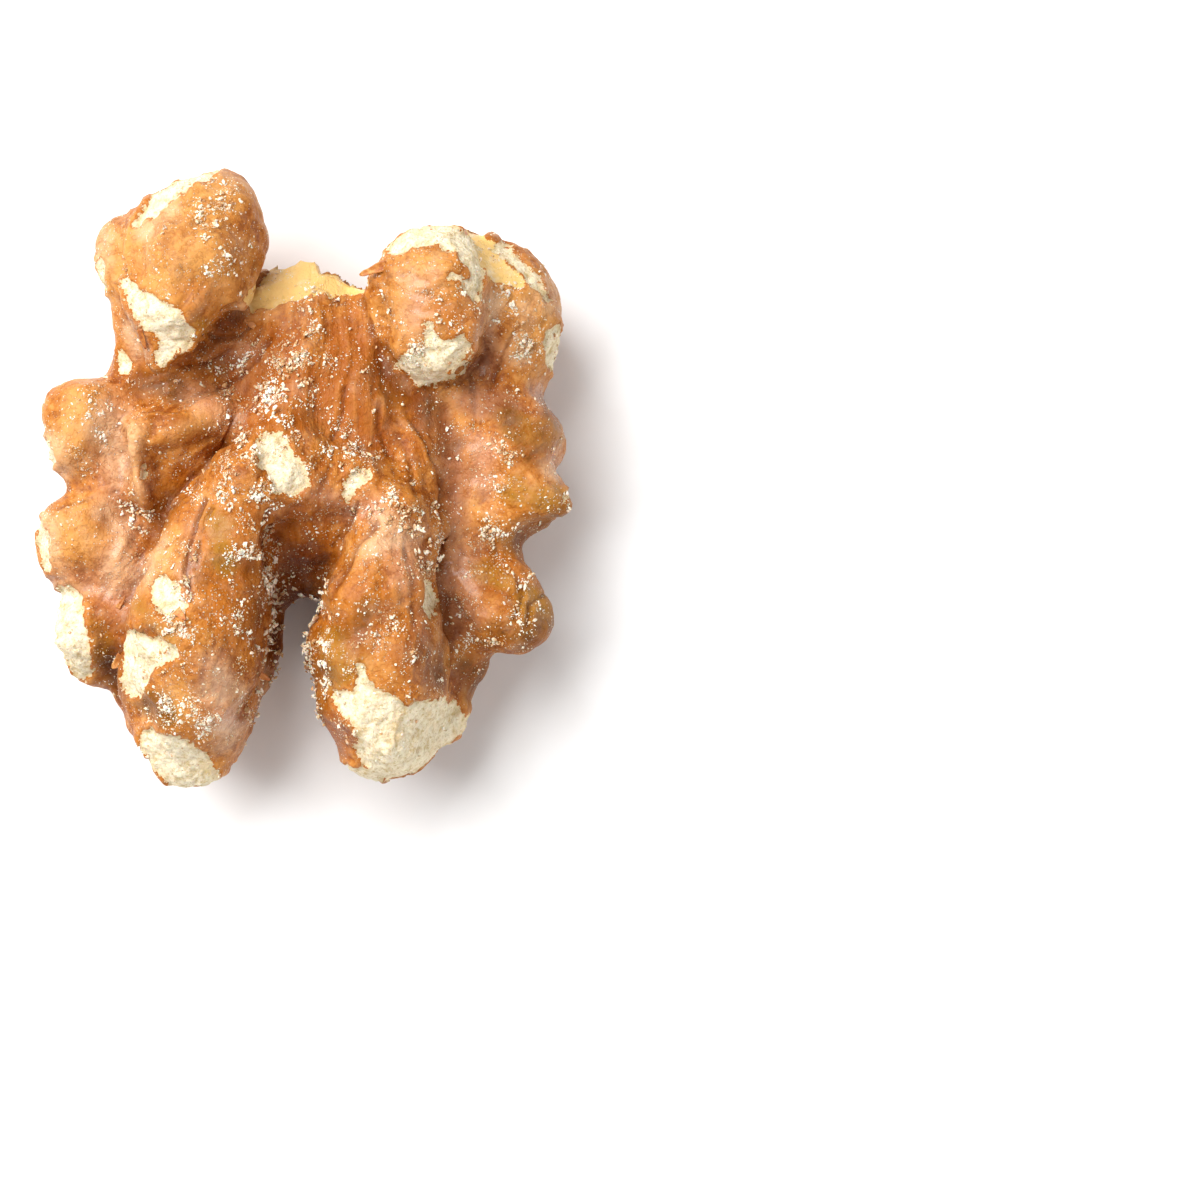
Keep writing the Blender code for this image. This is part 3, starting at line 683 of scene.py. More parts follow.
# Painted sheen in shade: glossy valleys and creases that lie in shade, such as the valley beside the ledge,
# painted a dull mauve.
PAINTED_SHADED_SHEEN = {
    "ledge_valley": [(6.6, 3.8, 0.7), (7.4, 2.4, 0.8), (7.8, 0.6, 0.8), (7.8, -1.4, 0.6), (7.6, -3.4, 0.4)],
    "right_valley": [(7.6, -5.0, 0.5), (8.0, -7.4, 0.8)],
    "beside_right_knob": [(8.2, 4.0, 0.7), (10.0, 4.2, 0.7), (11.0, 3.8, 0.4)],
    "right_leg_foot": [(1.9, -12.6, 0.5), (1.9, -13.8, 0.5)],
    "right_leg_crease": [(6.0, -4.6, 0.25), (6.2, -7.6, 0.3), (6.6, -10.2, 0.3)],
    "left_rim": [(-13.1, -5.0, 0.35)],
    "left_leg_crease": [(-4.9, -1.6, 0.2), (-5.5, -3.6, 0.25), (-5.5, -5.8, 0.25)],
    "roof_left": [(-3.6, 5.4, 0.7), (-2.6, 4.4, 0.5)],
}
# Painted shade: dark brown on the sides turned from the light, on the undersides of lobes and where knobs and
# the ledge cast shade.
PAINTED_SHADE = {
    "right_low_under": [(10.2, -7.8, 0.6), (11.6, -8.0, 0.8), (12.8, -7.6, 0.6)],
    "right_tail": [(8.4, -9.6, 0.9), (9.2, -10.6, 1.1)],
    "right_mid_under": [(11.0, -3.0, 0.6), (12.6, -2.8, 0.6), (13.4, -2.0, 0.6)],
    "right_upper_under": [(10.6, 3.2, 0.5), (11.6, 1.0, 0.5), (12.6, 3.6, 0.5)],
    "right_leg_side": [(6.4, -9.0, 0.5), (6.9, -10.2, 0.4)],
    "left_low": [(-9.8, -9.4, 0.7), (-9.6, -10.6, 0.6)],
    "right_leg_amber": [(3.6, -6.9, 0.5), (3.0, -7.7, 0.8)],
    "above_ear": [(-8.2, 5.0, 0.6), (-7.0, 4.7, 0.7)],
    "left_leg_foot": [(-7.6, -11.4, 0.6), (-7.0, -12.0, 0.5)],
    "under_right_knob": [(4.0, 5.6, 0.6), (4.9, 4.6, 0.8)],
    "right_leg_flank": [(1.0, -9.6, 0.3), (0.8, -12.0, 0.4)],
    "ledge_foot": [(6.7, 4.0, 0.4), (7.0, 3.2, 0.4), (7.6, 1.8, 0.3)],
    "ear_foot": [(-6.8, -0.8, 0.4), (-7.2, -1.8, 0.4)],
    "fan": [(-5.0, 5.9, 0.3), (-4.2, 5.6, 0.4)],
    "left_leg_edge": [(-2.3, -4.6, 0.2), (-2.2, -7.0, 0.2)],
}
# Painted light: edges and crests that face the light are made pale, and places in shade, such as the tip's
# root beside the knob, are lifted to a lit brightness.
PAINTED_LIGHT = {
    "left_upper": [(-13.2, 1.6, 0.8), (-12.6, 0.9, 0.8)],
    "left_middle_low": [(-12.4, -5.0, 0.4), (-11.4, -5.6, 0.3)],
    "tip_root": [(-2.8, 8.9, 0.4), (-2.2, 9.3, 0.4)],
    "satin": [(9.9, 8.8, 0.4), (9.7, 7.4, 0.3)],
    "right_far_mid": [(11.4, 8.8, 0.4), (11.4, 6.2, 0.3)],
    "left_leg_end": [(-3.8, -13.2, 0.7)],
    "left_middle": [(-13.4, -2.2, 0.6), (-13.2, -4.0, 0.6)],
    "left_valley": [(-9.3, -3.2, 0.5), (-9.4, -4.8, 0.8)],
    "left_middle_right": [(-10.0, -1.6, 0.5), (-9.6, -2.2, 0.4)],
    "left_leg_low": [(-3.9, -10.8, 0.9), (-4.4, -9.4, 0.5)],
    "neck": [(-8.8, 7.6, 0.5), (-8.6, 6.6, 0.4)],
    "left_leg_left": [(-7.2, -3.4, 0.35), (-7.6, -5.0, 0.35)],
    "ear_rim": [(-8.7, 2.6, 0.5), (-8.6, 0.8, 0.4), (-8.45, -0.8, 0.25)],
    "left_upper_right": [(-10.2, 2.8, 0.8), (-9.8, 1.4, 0.8), (-9.6, 0.0, 0.5)],
    "right_leg_crest": [(4.6, -2.2, 0.5), (3.9, -3.4, 0.5), (5.6, -2.8, 0.4)],
    "left_far": [(-10.8, 10.6, 0.5), (-10.2, 12.4, 0.5)],
    "right_far": [(12.6, 9.0, 0.4), (12.0, 9.8, 0.4)],
    "right_neck": [(13.0, 0.6, 0.3), (12.4, 0.4, 0.2)],
    "left_knob_crest": [(-7.8, 12.6, 0.4), (-6.8, 13.6, 0.5)],
}
# Painted shade in the deepest hollows: under the knobs, at the wall's foot, beside the left leg and along the
# slot.
PAINTED_DEEP_SHADE = {
    "under_left_knob": [(-3.4, 7.4, 0.2), (-4.2, 7.2, 0.2)],
    "under_right_knob": [(4.0, 5.8, 0.5), (4.7, 4.8, 0.7), (5.5, 4.3, 0.4)],
    "wall": [(0.2, -4.4, 1.2), (0.0, -5.6, 1.6)],
    "ear_foot": [(-7.4, -2.0, 0.5), (-6.6, -1.4, 0.3)],
    "beside_left_leg": [(-9.4, -9.0, 0.4), (-9.4, -11.0, 0.4)],
    "slot_sides": [(-1.6, -8.0, 0.5), (-2.4, -11.6, 0.5)],
}
# How soft each zone's edge is, in millimetres.
SOFTNESS = {"amber": 0.9, "satin": 0.9, "painted_shaded_sheen": 0.6, "painted_shade": 0.7, "olive": 0.4, "pale": 0.6}
# The bundles of wrinkles that have dark fibres in their colour too.
FIBROUS = ("roof", "roof_left", "wall")


def zone(paths, soft=0.9):
    """1 inside the marks and 0 outside, with a soft edge that noise bends."""
    return smooth_step(marks(places, paths.values()) + 0.5 * noise(places, 1.4, 71), -soft, soft)


def store(mesh, name, values):
    """Keeps one number for each corner as a named attribute."""
    mesh.attributes.new(name, "FLOAT", "POINT").data.foreach_set("value", values.astype(np.float32))


curl = np.sum((neighbour_mean(places, edges) - places) * normals, axis=1)
for _ in range(2):
    curl = neighbour_mean(curl[:, None], edges)[:, 0]
patchy = smooth_step(noise(places, 5.0, 72), -0.5, 0.5)
store(kernel_mesh, "chalk", chalk)
store(kernel_mesh, "yellow", yellow)
# Painted shade: concave places and the creases' grooves are darkened in the colour, where shade falls.
folded = smooth_step(curl, 0.003, 0.018) + smooth_step(-creases, 0.03, 0.16)
store(kernel_mesh, "crease", np.clip(folded, 0, 1))
store(kernel_mesh, "crest", smooth_step(-curl, 0.001, 0.012))
# Of these zones, the glossy valleys' colour is a painted sheen, the shaded valleys' colour is a painted sheen
# in shade, and two more are painted shade and painted light. Amber and olive are the skin's own colours.
for name, paths in zip(SOFTNESS, (AMBER, GLOSS_AND_PAINTED_SHEEN, PAINTED_SHADED_SHEEN, PAINTED_SHADE, OLIVE, PAINTED_LIGHT)):
    store(kernel_mesh, name, zone(paths, SOFTNESS[name]) * shown)
# Golden: the skin's own tone, with painted light on the lobes that face the light. On the hidden back it is
# one half of a random two-tone.
store(kernel_mesh, "golden", zone(GOLDEN_AND_PAINTED_LIGHT) * shown + below * patchy)
# Russet: the skin's own red-brown, with painted shade in two places. On the hidden back it is the other half
# of a random two-tone.
store(kernel_mesh, "russet", zone(RUSSET_AND_PAINTED_SHADE) * shown + below * (1 - patchy) * 0.6)
# Painted shade: the deepest hollows' marks, counted only where the surface lies in a hollow.
store(kernel_mesh, "deep", zone(PAINTED_DEEP_SHADE) * smooth_step(hollow, -0.1, 0.5))
store(kernel_mesh, "wrinkle", np.clip(wrinkles, 0.0, 1.0))
fibre = marks(places, [WRINKLES[name][2] for name in FIBROUS])
store(kernel_mesh, "fibre", smooth_step(fibre, *BUNDLE_EDGE))
print("curl:", np.percentile(curl, [5, 50, 95]).round(4))

# %% [markdown]
# ## Shader groups
#
# Some effects return in more than one finish, so each is a node group: a ragged
# edge between two finishes, a mottled colour, fine dust, and the grain of dry
# meat. A group only gives masks, colours and heights. The shaders stay in the
# materials.

# %% Helpers that build node trees
def feed(tree, socket, value):
    """Links another node's output to the socket, or sets it to a plain value."""
    if isinstance(value, bpy.types.NodeSocket):
        tree.links.new(value, socket)
    else:
        socket.default_value = value


def add_node(tree, kind, **settings):
    """A node of that kind. A setting is an input where the node has one of that name, or else a property."""
    node = tree.nodes.new("ShaderNode" + kind)
    for name, value in settings.items():
        if name in node.inputs:
            feed(tree, node.inputs[name], value)
        else:
            setattr(node, name, value)
    return node


def math(tree, operation, first, second=0.0):
    """A Math node's result."""
    node = tree.nodes.new("ShaderNodeMath")
    node.operation = operation
    for socket, value in zip(node.inputs, (first, second)):
        feed(tree, socket, value)
    return node.outputs[0]


def ramp(tree, value, low, high, to_low=0.0, to_high=1.0):
    """The value carried from one range to another along an S, and held at the ends."""
    node = add_node(tree, "MapRange", interpolation_type="SMOOTHSTEP")
    for name, number in (("From Min", low), ("From Max", high), ("To Min", to_low), ("To Max", to_high)):
        node.inputs[name].default_value = number
    tree.links.new(value, node.inputs["Value"])
    return node.outputs["Result"]


def blend_colours(tree, amount, first, second):
    """The first colour with the second over it, by an amount."""
    node = tree.nodes.new("ShaderNodeMix")
    node.data_type = "RGBA"
    for index, value in ((0, amount), (6, first), (7, second)):
        feed(tree, node.inputs[index], value)
    return node.outputs[2]


def cloud(tree, vector, size, detail=2.0, roughness=0.5):
    """Noise whose lumps are about so many millimetres wide."""
    scale = 1 / (size * MM)
    node = add_node(tree, "TexNoise", Vector=vector, Scale=scale, Detail=detail, Roughness=roughness)
    return node.outputs["Fac"]


def new_group(name, inputs, outputs):
    """An empty node group with its sockets, and its input and output nodes."""
    tree = bpy.data.node_groups.new(name, "ShaderNodeTree")
    for socket, kind, default in inputs:
        item = tree.interface.new_socket(name=socket, in_out="INPUT", socket_type="NodeSocket" + kind)
        if default is not None:
            item.default_value = default
    for socket, kind in outputs:
        tree.interface.new_socket(name=socket, in_out="OUTPUT", socket_type="NodeSocket" + kind)
    return tree, tree.nodes.new("NodeGroupInput").outputs, tree.nodes.new("NodeGroupOutput").inputs


def use_group(tree, group, **values):
    """Places a group in a tree. A value is a number, a colour or another node's output."""
    node = tree.nodes.new("ShaderNodeGroup")
    node.node_tree = group
    for name, value in values.items():
        feed(tree, node.inputs[name], value)
    return node.outputs


def new_material(name):
    """A material, its node tree, its shader and the place in Object coordinates."""
    material = bpy.data.materials.new(name)
    material.use_nodes = True
    tree = material.node_tree
    return material, tree, tree.nodes["Principled BSDF"], add_node(tree, "TexCoord").outputs["Object"]


# %% The ragged edge, mottle, veins, dust and grain
def ragged_edge_group():
    """Mask: 1 where the distance, made uneven by fine noise, is above zero. Rim: the thin line outside it."""
    tree, given, out = new_group(
        "ragged_edge", [("Vector", "Vector", None), ("Distance", "Float", 0.0), ("Wander", "Float", 0.1)],
        [("Mask", "Float"), ("Rim", "Float")])
    fine = math(tree, "SUBTRACT", cloud(tree, given["Vector"], 0.3, 4.0, 0.7), 0.5)
    moved = math(tree, "ADD", given["Distance"], math(tree, "MULTIPLY", fine, given["Wander"]))
    tree.links.new(ramp(tree, moved, -0.015, 0.015), out["Mask"])
    inner = ramp(tree, moved, -0.14, -0.02)
    outer = ramp(tree, moved, -0.02, 0.02, 1.0, 0.0)
    tree.links.new(math(tree, "MULTIPLY", inner, outer), out["Rim"])
    return tree


def mottle_group():
    """Colour: low, middle or high, by soft clouds of one size with finer ones on them."""
    tree, given, out = new_group(
        "mottle", [("Vector", "Vector", None), ("Low", "Color", None), ("Middle", "Color", None),
                   ("High", "Color", None), ("Fine", "Float", 0.5)],
        [("Color", "Color"), ("Value", "Float")])
    broad = cloud(tree, given["Vector"], 2.2, 3.0, 0.6)
    fine = cloud(tree, given["Vector"], 0.4, 5.0, 0.75)
    value = math(tree, "ADD", broad, math(tree, "MULTIPLY", math(tree, "SUBTRACT", fine, 0.5), given["Fine"]))
    lower = blend_colours(tree, ramp(tree, value, 0.32, 0.5), given["Low"], given["Middle"])
    tree.links.new(blend_colours(tree, ramp(tree, value, 0.5, 0.7), lower, given["High"]), out["Color"])
    tree.links.new(value, out["Value"])
    return tree


def veins_group():
    """Mask of thin winding lines: where a noise passes through its middle value."""
    tree, given, out = new_group("veins", [("Vector", "Vector", None)], [("Mask", "Float")])
    total = None
    for size, width in ((2.4, 0.012), (1.1, 0.018)):
        middle = math(tree, "SUBTRACT", cloud(tree, given["Vector"], size, 3.0, 0.55), 0.5)
        line = ramp(tree, math(tree, "ABSOLUTE", middle), 0.0, width, 1.0, 0.0)
        total = line if total is None else math(tree, "MAXIMUM", total, line)
    tree.links.new(total, out["Mask"])
    return tree


def dust_group():
    """Mask of pale specks: the middles of small cells, kept where a random number is below the amount."""
    tree, given, out = new_group(
        "dust", [("Vector", "Vector", None), ("Amount", "Float", 0.3)], [("Mask", "Float")])
    total = None
    for size, share in ((0.2, 1.0), (0.11, 1.3)):
        cell = add_node(tree, "TexVoronoi", Vector=given["Vector"], Scale=1 / (size * MM), Randomness=1.0)
        chance = add_node(tree, "SeparateColor", Color=cell.outputs["Color"])
        kept = math(tree, "LESS_THAN", chance.outputs[0], math(tree, "MULTIPLY", given["Amount"], share))
        near = ramp(tree, cell.outputs["Distance"], 0.2, 0.36, 1.0, 0.0)
        speck = math(tree, "MULTIPLY", kept, near)
        total = speck if total is None else math(tree, "MAXIMUM", total, speck)
    tree.links.new(total, out["Mask"])
    return tree


def grain_group():
    """Value and Height of dry meat: crumbly lumps, with darker pores and cracks between them."""
    tree, given, out = new_group(
        "grain", [("Vector", "Vector", None)], [("Value", "Float"), ("Height", "Float")])
    lumps = add_node(tree, "TexVoronoi", Vector=given["Vector"], Scale=1 / (0.24 * MM), Randomness=1.0)
    clouds = cloud(tree, given["Vector"], 0.45, 5.0, 0.75)
    pores = ramp(tree, cloud(tree, given["Vector"], 0.16, 3.0, 0.7), 0.3, 0.46)
    body = ramp(tree, clouds, 0.3, 0.56)
    tree.links.new(math(tree, "MULTIPLY", body, pores), out["Value"])
    rounded = math(tree, "SUBTRACT", 1.0, lumps.outputs["Distance"])
    height = math(tree, "ADD", math(tree, "MULTIPLY", rounded, 0.5), math(tree, "MULTIPLY", clouds, 1.4))
    tree.links.new(height, out["Height"])
    return tree


RAGGED_EDGE = ragged_edge_group()
MOTTLE = mottle_group()
VEINS = veins_group()
DUST = dust_group()
GRAIN = grain_group()
print("shader groups:", [group.name for group in bpy.data.node_groups])

# %% [markdown]
# ## The kernel's finish
#
# Walnut skin is a thin, waxy film over pale meat. Most of it is orange-brown, with
# amber spots where the meat shows through. Light and shade are painted into its
# colour too: shade in the creases, in the hollows and on sides turned from the light,
# light on the sides turned to it, and a pale sheen in the glossy valleys. The bare
# meat is matt cream. One Principled shader takes its colour, roughness and coat from
# those zones, and two bumps give the grain that is too fine for the mesh.

# %% The colours, as they are in the photograph, with painted light, shade and sheen among them
SKIN_LOW = (0.24, 0.058, 0.004, 1)
SKIN_MIDDLE = (0.42, 0.138, 0.018, 1)
SKIN_HIGH = (0.56, 0.240, 0.058, 1)
GOLDEN_COLOUR = (0.60, 0.285, 0.078, 1)
RUSSET_COLOUR = (0.29, 0.066, 0.004, 1)
AMBER_COLOUR = (0.38, 0.100, 0.002, 1)
# A painted sheen: the light's reflection on the glossy valleys, painted as a pale pink colour.
PAINTED_SHEEN_COLOUR = (0.52, 0.250, 0.145, 1)
# Painted sheen in shade, a dull mauve.
PAINTED_SHADED_SHEEN_COLOUR = (0.30, 0.115, 0.055, 1)
OLIVE_COLOUR = (0.34, 0.144, 0.013, 1)
STRAW_COLOUR = (0.66, 0.46, 0.22, 1)
# Painted shade, dark brown.
PAINTED_SHADE_COLOUR = (0.135, 0.040, 0.003, 1)
# Painted light, a pale pinkish tan.
PAINTED_LIGHT_COLOUR = (0.68, 0.425, 0.24, 1)
# Painted shade for the creases and the deepest hollows.
PAINTED_DEEP_SHADE_COLOUR = (0.12, 0.020, 0.001, 1)
CHALK_COLOUR = (0.81, 0.71, 0.52, 1)
PORE_COLOUR = (0.52, 0.38, 0.18, 1)
YELLOW_COLOUR = (0.74, 0.48, 0.17, 1)
DUST_COLOUR = (0.72, 0.60, 0.45, 1)


def attribute(tree, name, share=1.0):
    """One of the mesh's named numbers, times a share."""
    value = add_node(tree, "Attribute", attribute_name=name).outputs["Fac"]
    return value if share == 1.0 else math(tree, "MULTIPLY", value, share)


def bumped(tree, height, distance, normal=None):
    """The normal, turned by a height whose full step is so many millimetres."""
    node = add_node(tree, "Bump", Height=height, Distance=distance * MM, Strength=1.0)
    if normal is not None:
        tree.links.new(normal, node.inputs["Normal"])
    return node.outputs["Normal"]


# %% The skin's colour, zone by zone
def skin_colour(tree, place):
    """Mottled brown, with the coloured zones over it, some of them painted light, shade and sheen, then
    lines, painted shade in creases and hollows, and dust.
    """
    mottle = use_group(tree, MOTTLE, Vector=place, Low=SKIN_LOW, Middle=SKIN_MIDDLE, High=SKIN_HIGH, Fine=1.1)
    skin = mottle["Color"]
    uneven = ramp(tree, mottle["Value"], 0.3, 0.6, 0.5, 1.0)
    # Several of these zones are painted light, shade and sheen over the skin's own colours: the sheen in
    # glossy and in shaded valleys, the shade on sides turned from the light, and the light on sides turned to
    # it.
    for name, colour, share in (
            ("golden", GOLDEN_COLOUR, 0.85), ("russet", RUSSET_COLOUR, 0.75), ("satin", PAINTED_SHEEN_COLOUR, 0.8),
            ("amber", AMBER_COLOUR, 0.8), ("painted_shaded_sheen", PAINTED_SHADED_SHEEN_COLOUR, 0.9), ("olive", OLIVE_COLOUR, 1.0),
            ("painted_shade", PAINTED_SHADE_COLOUR, 1.0), ("pale", PAINTED_LIGHT_COLOUR, 0.8)):
        skin = blend_colours(tree, math(tree, "MULTIPLY", attribute(tree, name, share), uneven), skin, colour)
    skin = blend_colours(tree, attribute(tree, "crest", 0.3), skin, SKIN_HIGH)
    skin = blend_colours(tree, attribute(tree, "wrinkle", 0.15), skin, SKIN_HIGH)
    streaks = add_node(tree, "Mapping", Vector=place, Scale=(1.0, 0.12, 0.3))
    thread = ramp(tree, cloud(tree, streaks.outputs[0], 0.3, 4.0, 0.65), 0.42, 0.56, 1.0, 0.0)
    thread = math(tree, "MULTIPLY", thread, attribute(tree, "fibre", 0.5))
    veins = use_group(tree, VEINS, Vector=place)["Mask"]
    lines = math(tree, "MAXIMUM", thread, math(tree, "MULTIPLY", veins, 0.3))
    skin = blend_colours(tree, lines, skin, RUSSET_COLOUR)
    # Painted shade: creases and the deepest hollows are darkened in the colour.
    painted_dark_shade = math(tree, "MAXIMUM", attribute(tree, "crease", 0.6), attribute(tree, "deep", 0.75))
    skin = blend_colours(tree, painted_dark_shade, skin, PAINTED_DEEP_SHADE_COLOUR)
    haze = math(tree, "MULTIPLY", ramp(tree, cloud(tree, place, 1.2, 4.0, 0.7), 0.46, 0.7), 0.09)
    skin = blend_colours(tree, haze, skin, DUST_COLOUR)
    amount = ramp(tree, cloud(tree, place, 1.8, 3.0, 0.6), 0.4, 0.7, 0.02, 0.3)
    dust = use_group(tree, DUST, Vector=place, Amount=amount)["Mask"]
    skin = blend_colours(tree, math(tree, "MULTIPLY", dust, 0.65), skin, DUST_COLOUR)
    return skin, dust, math(tree, "ADD", thread, math(tree, "MULTIPLY", veins, 0.4))


# %% Build the kernel's material
def kernel_material():
    """Skin with its painted light, shade and sheen, glossy valleys, amber, chalk and yellow meat in one
    shader.
    """
    material, tree, shader, place = new_material("roasted_walnut")
    skin, dust, lines = skin_colour(tree, place)

    grain = use_group(tree, GRAIN, Vector=place)
    stain = math(tree, "MULTIPLY", ramp(tree, cloud(tree, place, 1.3, 4.0, 0.65), 0.48, 0.68), 0.55)
    stain = math(tree, "MAXIMUM", stain, ramp(tree, attribute(tree, "chalk"), 0.0, 0.28, 0.6, 0.0))
    clean = blend_colours(tree, stain, CHALK_COLOUR, STRAW_COLOUR)
    meat = blend_colours(tree, grain["Value"], PORE_COLOUR, clean)
    gold = ramp(tree, cloud(tree, place, 0.9, 4.0, 0.6), 0.5, 0.85)
    gold = blend_colours(tree, gold, YELLOW_COLOUR, CHALK_COLOUR)
    chalk_edge = use_group(tree, RAGGED_EDGE, Vector=place, Distance=attribute(tree, "chalk"), Wander=0.7)
    gold_edge = use_group(tree, RAGGED_EDGE, Vector=place, Distance=attribute(tree, "yellow"), Wander=0.5)
    rim = math(tree, "MULTIPLY", math(tree, "MAXIMUM", chalk_edge["Rim"], gold_edge["Rim"]), 0.7)
    colour = blend_colours(tree, rim, skin, AMBER_COLOUR)
    colour = blend_colours(tree, gold_edge["Mask"], colour, gold)
    colour = blend_colours(tree, chalk_edge["Mask"], colour, meat)
    tree.links.new(colour, shader.inputs["Base Color"])

    matt = math(tree, "MAXIMUM", chalk_edge["Mask"], math(tree, "MULTIPLY", dust, 0.9))
    sleek = math(tree, "SUBTRACT", 1.0, matt)
    gloss = math(tree, "MAXIMUM", attribute(tree, "satin"), attribute(tree, "amber", 0.25))
    base = ramp(tree, cloud(tree, place, 0.7, 3.0), 0.35, 0.65, 0.30, 0.46)
    base = math(tree, "SUBTRACT", base, math(tree, "MULTIPLY", gloss, 0.12))
    rough = math(tree, "ADD", math(tree, "MULTIPLY", base, sleek), math(tree, "MULTIPLY", matt, 0.92))
    tree.links.new(rough, shader.inputs["Roughness"])
    coat = math(tree, "MULTIPLY", math(tree, "ADD", math(tree, "MULTIPLY", gloss, 0.42), 0.02), sleek)
    tree.links.new(coat, shader.inputs["Coat Weight"])
    shader.inputs["Coat Roughness"].default_value = 0.18
    shader.inputs["Specular IOR Level"].default_value = 0.12
    shader.inputs["Subsurface Weight"].default_value = 0.12
    shader.inputs["Subsurface Radius"].default_value = (1.0, 0.45, 0.15)
    shader.inputs["Subsurface Scale"].default_value = 0.7 * MM

    wrinkle = math(tree, "SUBTRACT", cloud(tree, place, 0.45, 5.0, 0.7), math(tree, "MULTIPLY", lines, 0.35))
    height = math(tree, "ADD", wrinkle, math(tree, "MULTIPLY", dust, 0.35))
    skinned = math(tree, "SUBTRACT", 1.0, chalk_edge["Mask"])
    skin_side = math(tree, "MULTIPLY", math(tree, "ADD", height, 0.6), skinned)
    meat_side = math(tree, "MULTIPLY", grain["Height"], chalk_edge["Mask"])
    coarse = bumped(tree, math(tree, "ADD", skin_side, meat_side), 0.09)
    crackle = add_node(
        tree, "TexVoronoi", Vector=place, Scale=1 / (0.16 * MM), feature="SMOOTH_F1", Smoothness=0.6)
    tree.links.new(bumped(tree, crackle.outputs["Distance"], 0.02, coarse), shader.inputs["Normal"])
    return material


# %% Make the visible kernel
kernel_mesh.name = "walnut_half"
kernel_mesh.materials.clear()
kernel_mesh.materials.append(kernel_material())
kernel_mesh.shade_smooth()
walnut = place_object("walnut_half", kernel_mesh)
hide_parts("kernel")
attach(walnut, "root")
print("walnut_half:", 2 * len(kernel_mesh.polygons), "triangles")

# %% [markdown]
# ## Crumbs
#
# Broken skin and meat lie on the kernel as crumbs, from dust up to half a
# millimetre. They gather on the bridge, along the roof's ridge and at the slot's
# edges, and stick together in clumps. A particle system would vanish in an
# export, so each crumb is real mesh: a twenty-sided lump, squashed, dented and
# turned by random numbers. All are made at once as arrays.

# %% Where crumbs gather
CRUMB_PATHS = {
    "bridge": [(-3.4, -0.4, 0.8), (-2.5, 1.8, 0.8), (0.4, 2.4, 0.8), (2.4, 1.2, 0.7)],
    "bridge_right": [(3.4, 0.4, 0.6), (4.6, -1.2, 1.0), (5.8, -2.6, 1.0), (6.0, -4.2, 0.6)],
    "ridge": [(0.5, 8.8, 0.4), (0.2, 7.0, 0.7), (-0.8, 4.6, 1.4), (-2.4, 3.4, 1.0)],
    "roof_left": [(-3.2, 6.2, 0.6), (-3.4, 4.4, 0.9)],
    "wall": [(-2.4, -1.0, 0.6), (-2.1, -3.4, 0.5), (-1.6, -4.6, 0.3)],
    "left_leg": [(-5.2, -1.6, 0.4), (-5.4, -4.6, 0.5), (-5.9, -7.4, 0.7), (-6.3, -8.6, 0.5)],
    "left_leg_right": [(-2.8, 1.8, 0.5), (-2.6, -3.0, 0.7), (-2.6, -7.0, 0.6)],
    "left_leg_low": [(-3.4, -9.4, 0.8), (-3.4, -11.8, 0.6), (-7.2, -11.8, 0.5)],
    "right_leg_left": [(1.6, -8.2, 0.5), (1.2, -10.4, 0.3), (1.2, -13.2, 0.3)],
    "right_leg": [(3.6, -7.2, 0.4), (5.4, -8.4, 0.5)],
    "ear": [(-8.9, -1.5, 0.35), (-8.6, -2.9, 0.35)],
    "left_knob": [(-4.5, 12.8, 0.5), (-4.0, 11.6, 0.5), (-4.4, 14.2, 0.5)],
    "left_upper": [(-10.8, 1.6, 0.5), (-10.6, 3.2, 0.4)],
    "right_knob": [(8.4, 9.2, 0.5), (8.2, 8.4, 0.4), (5.6, 6.6, 0.5)],
    "wing": [(10.0, 1.2, 0.5), (10.6, -1.6, 0.4), (9.4, -2.6, 0.4), (9.2, -5.4, 0.6)],
    "low_wing": [(11.0, -5.0, 0.5), (11.8, -6.0, 0.3), (9.2, -8.0, 0.4)],
    "right_far": [(10.6, 9.0, 0.6), (11.4, 6.8, 0.5)],
}
BEAD_PATHS = {
    "slot_left": [(-1.7, -3.6, 0.15), (-1.6, -6.4, 0.2), (-1.7, -10.2, 0.2), (-2.9, -12.6, 0.2)],
    "wall_foot": [(-1.6, -5.2, 0.3), (-0.2, -5.9, 0.2), (1.0, -5.4, 0.3)],
    "slot_right": [(0.9, -6.6, 0.2), (0.4, -9.0, 0.2), (0.9, -13.0, 0.2)],
    "bridge": [(-3.0, 2.2, 0.4), (-2.4, 0.4, 0.3), (-2.0, -1.6, 0.3)],
    "right_leg_top": [(4.4, -1.4, 0.5), (5.8, -2.6, 0.5), (6.5, -4.4, 0.3)],
    "left_leg": [(-5.7, -4.8, 0.3), (-6.2, -8.4, 0.4)],
    "ear": [(-8.9, -1.5, 0.2), (-8.5, -2.6, 0.2)],
    "ridge": [(0.4, 8.4, 0.2), (-0.4, 5.0, 0.6), (-1.8, 3.8, 0.5)],
    "left_knob": [(-4.3, 12.5, 0.3), (-4.5, 12.2, 0.3)],
    "right_leg_window": [(1.4, -8.6, 0.4), (1.6, -10.8, 0.3)],
}
CRUMB_SEED = 5
DUST_GRAINS = 11000
CRUMB_GRAINS = 2400
CLUMPS = 300
CLUMP_GRAINS = 6
BEADS = 240
BEAD_GRAINS = 5
CRUMB_SIZES = (0.048, 0.092, 2.4)
DUST_SIZES = (0.028, 0.035, 2.0)
BEAD_SCALE = 1.35
CROWD_EDGE = (-1.3, 0.5)
BEAD_EDGE = (-0.35, 0.1)
SPARSE = 0.12
CROWDED = 1.4
FALLEN = 0.01
DUST_VEIL = 0.25


def triangles_of(mesh):
    """The corners of the mesh's triangles."""
    mesh.calc_loop_triangles()
    corners = np.empty(len(mesh.loop_triangles) * 3, int)
    mesh.loop_triangles.foreach_get("vertices", corners)
    return corners.reshape(-1, 3)


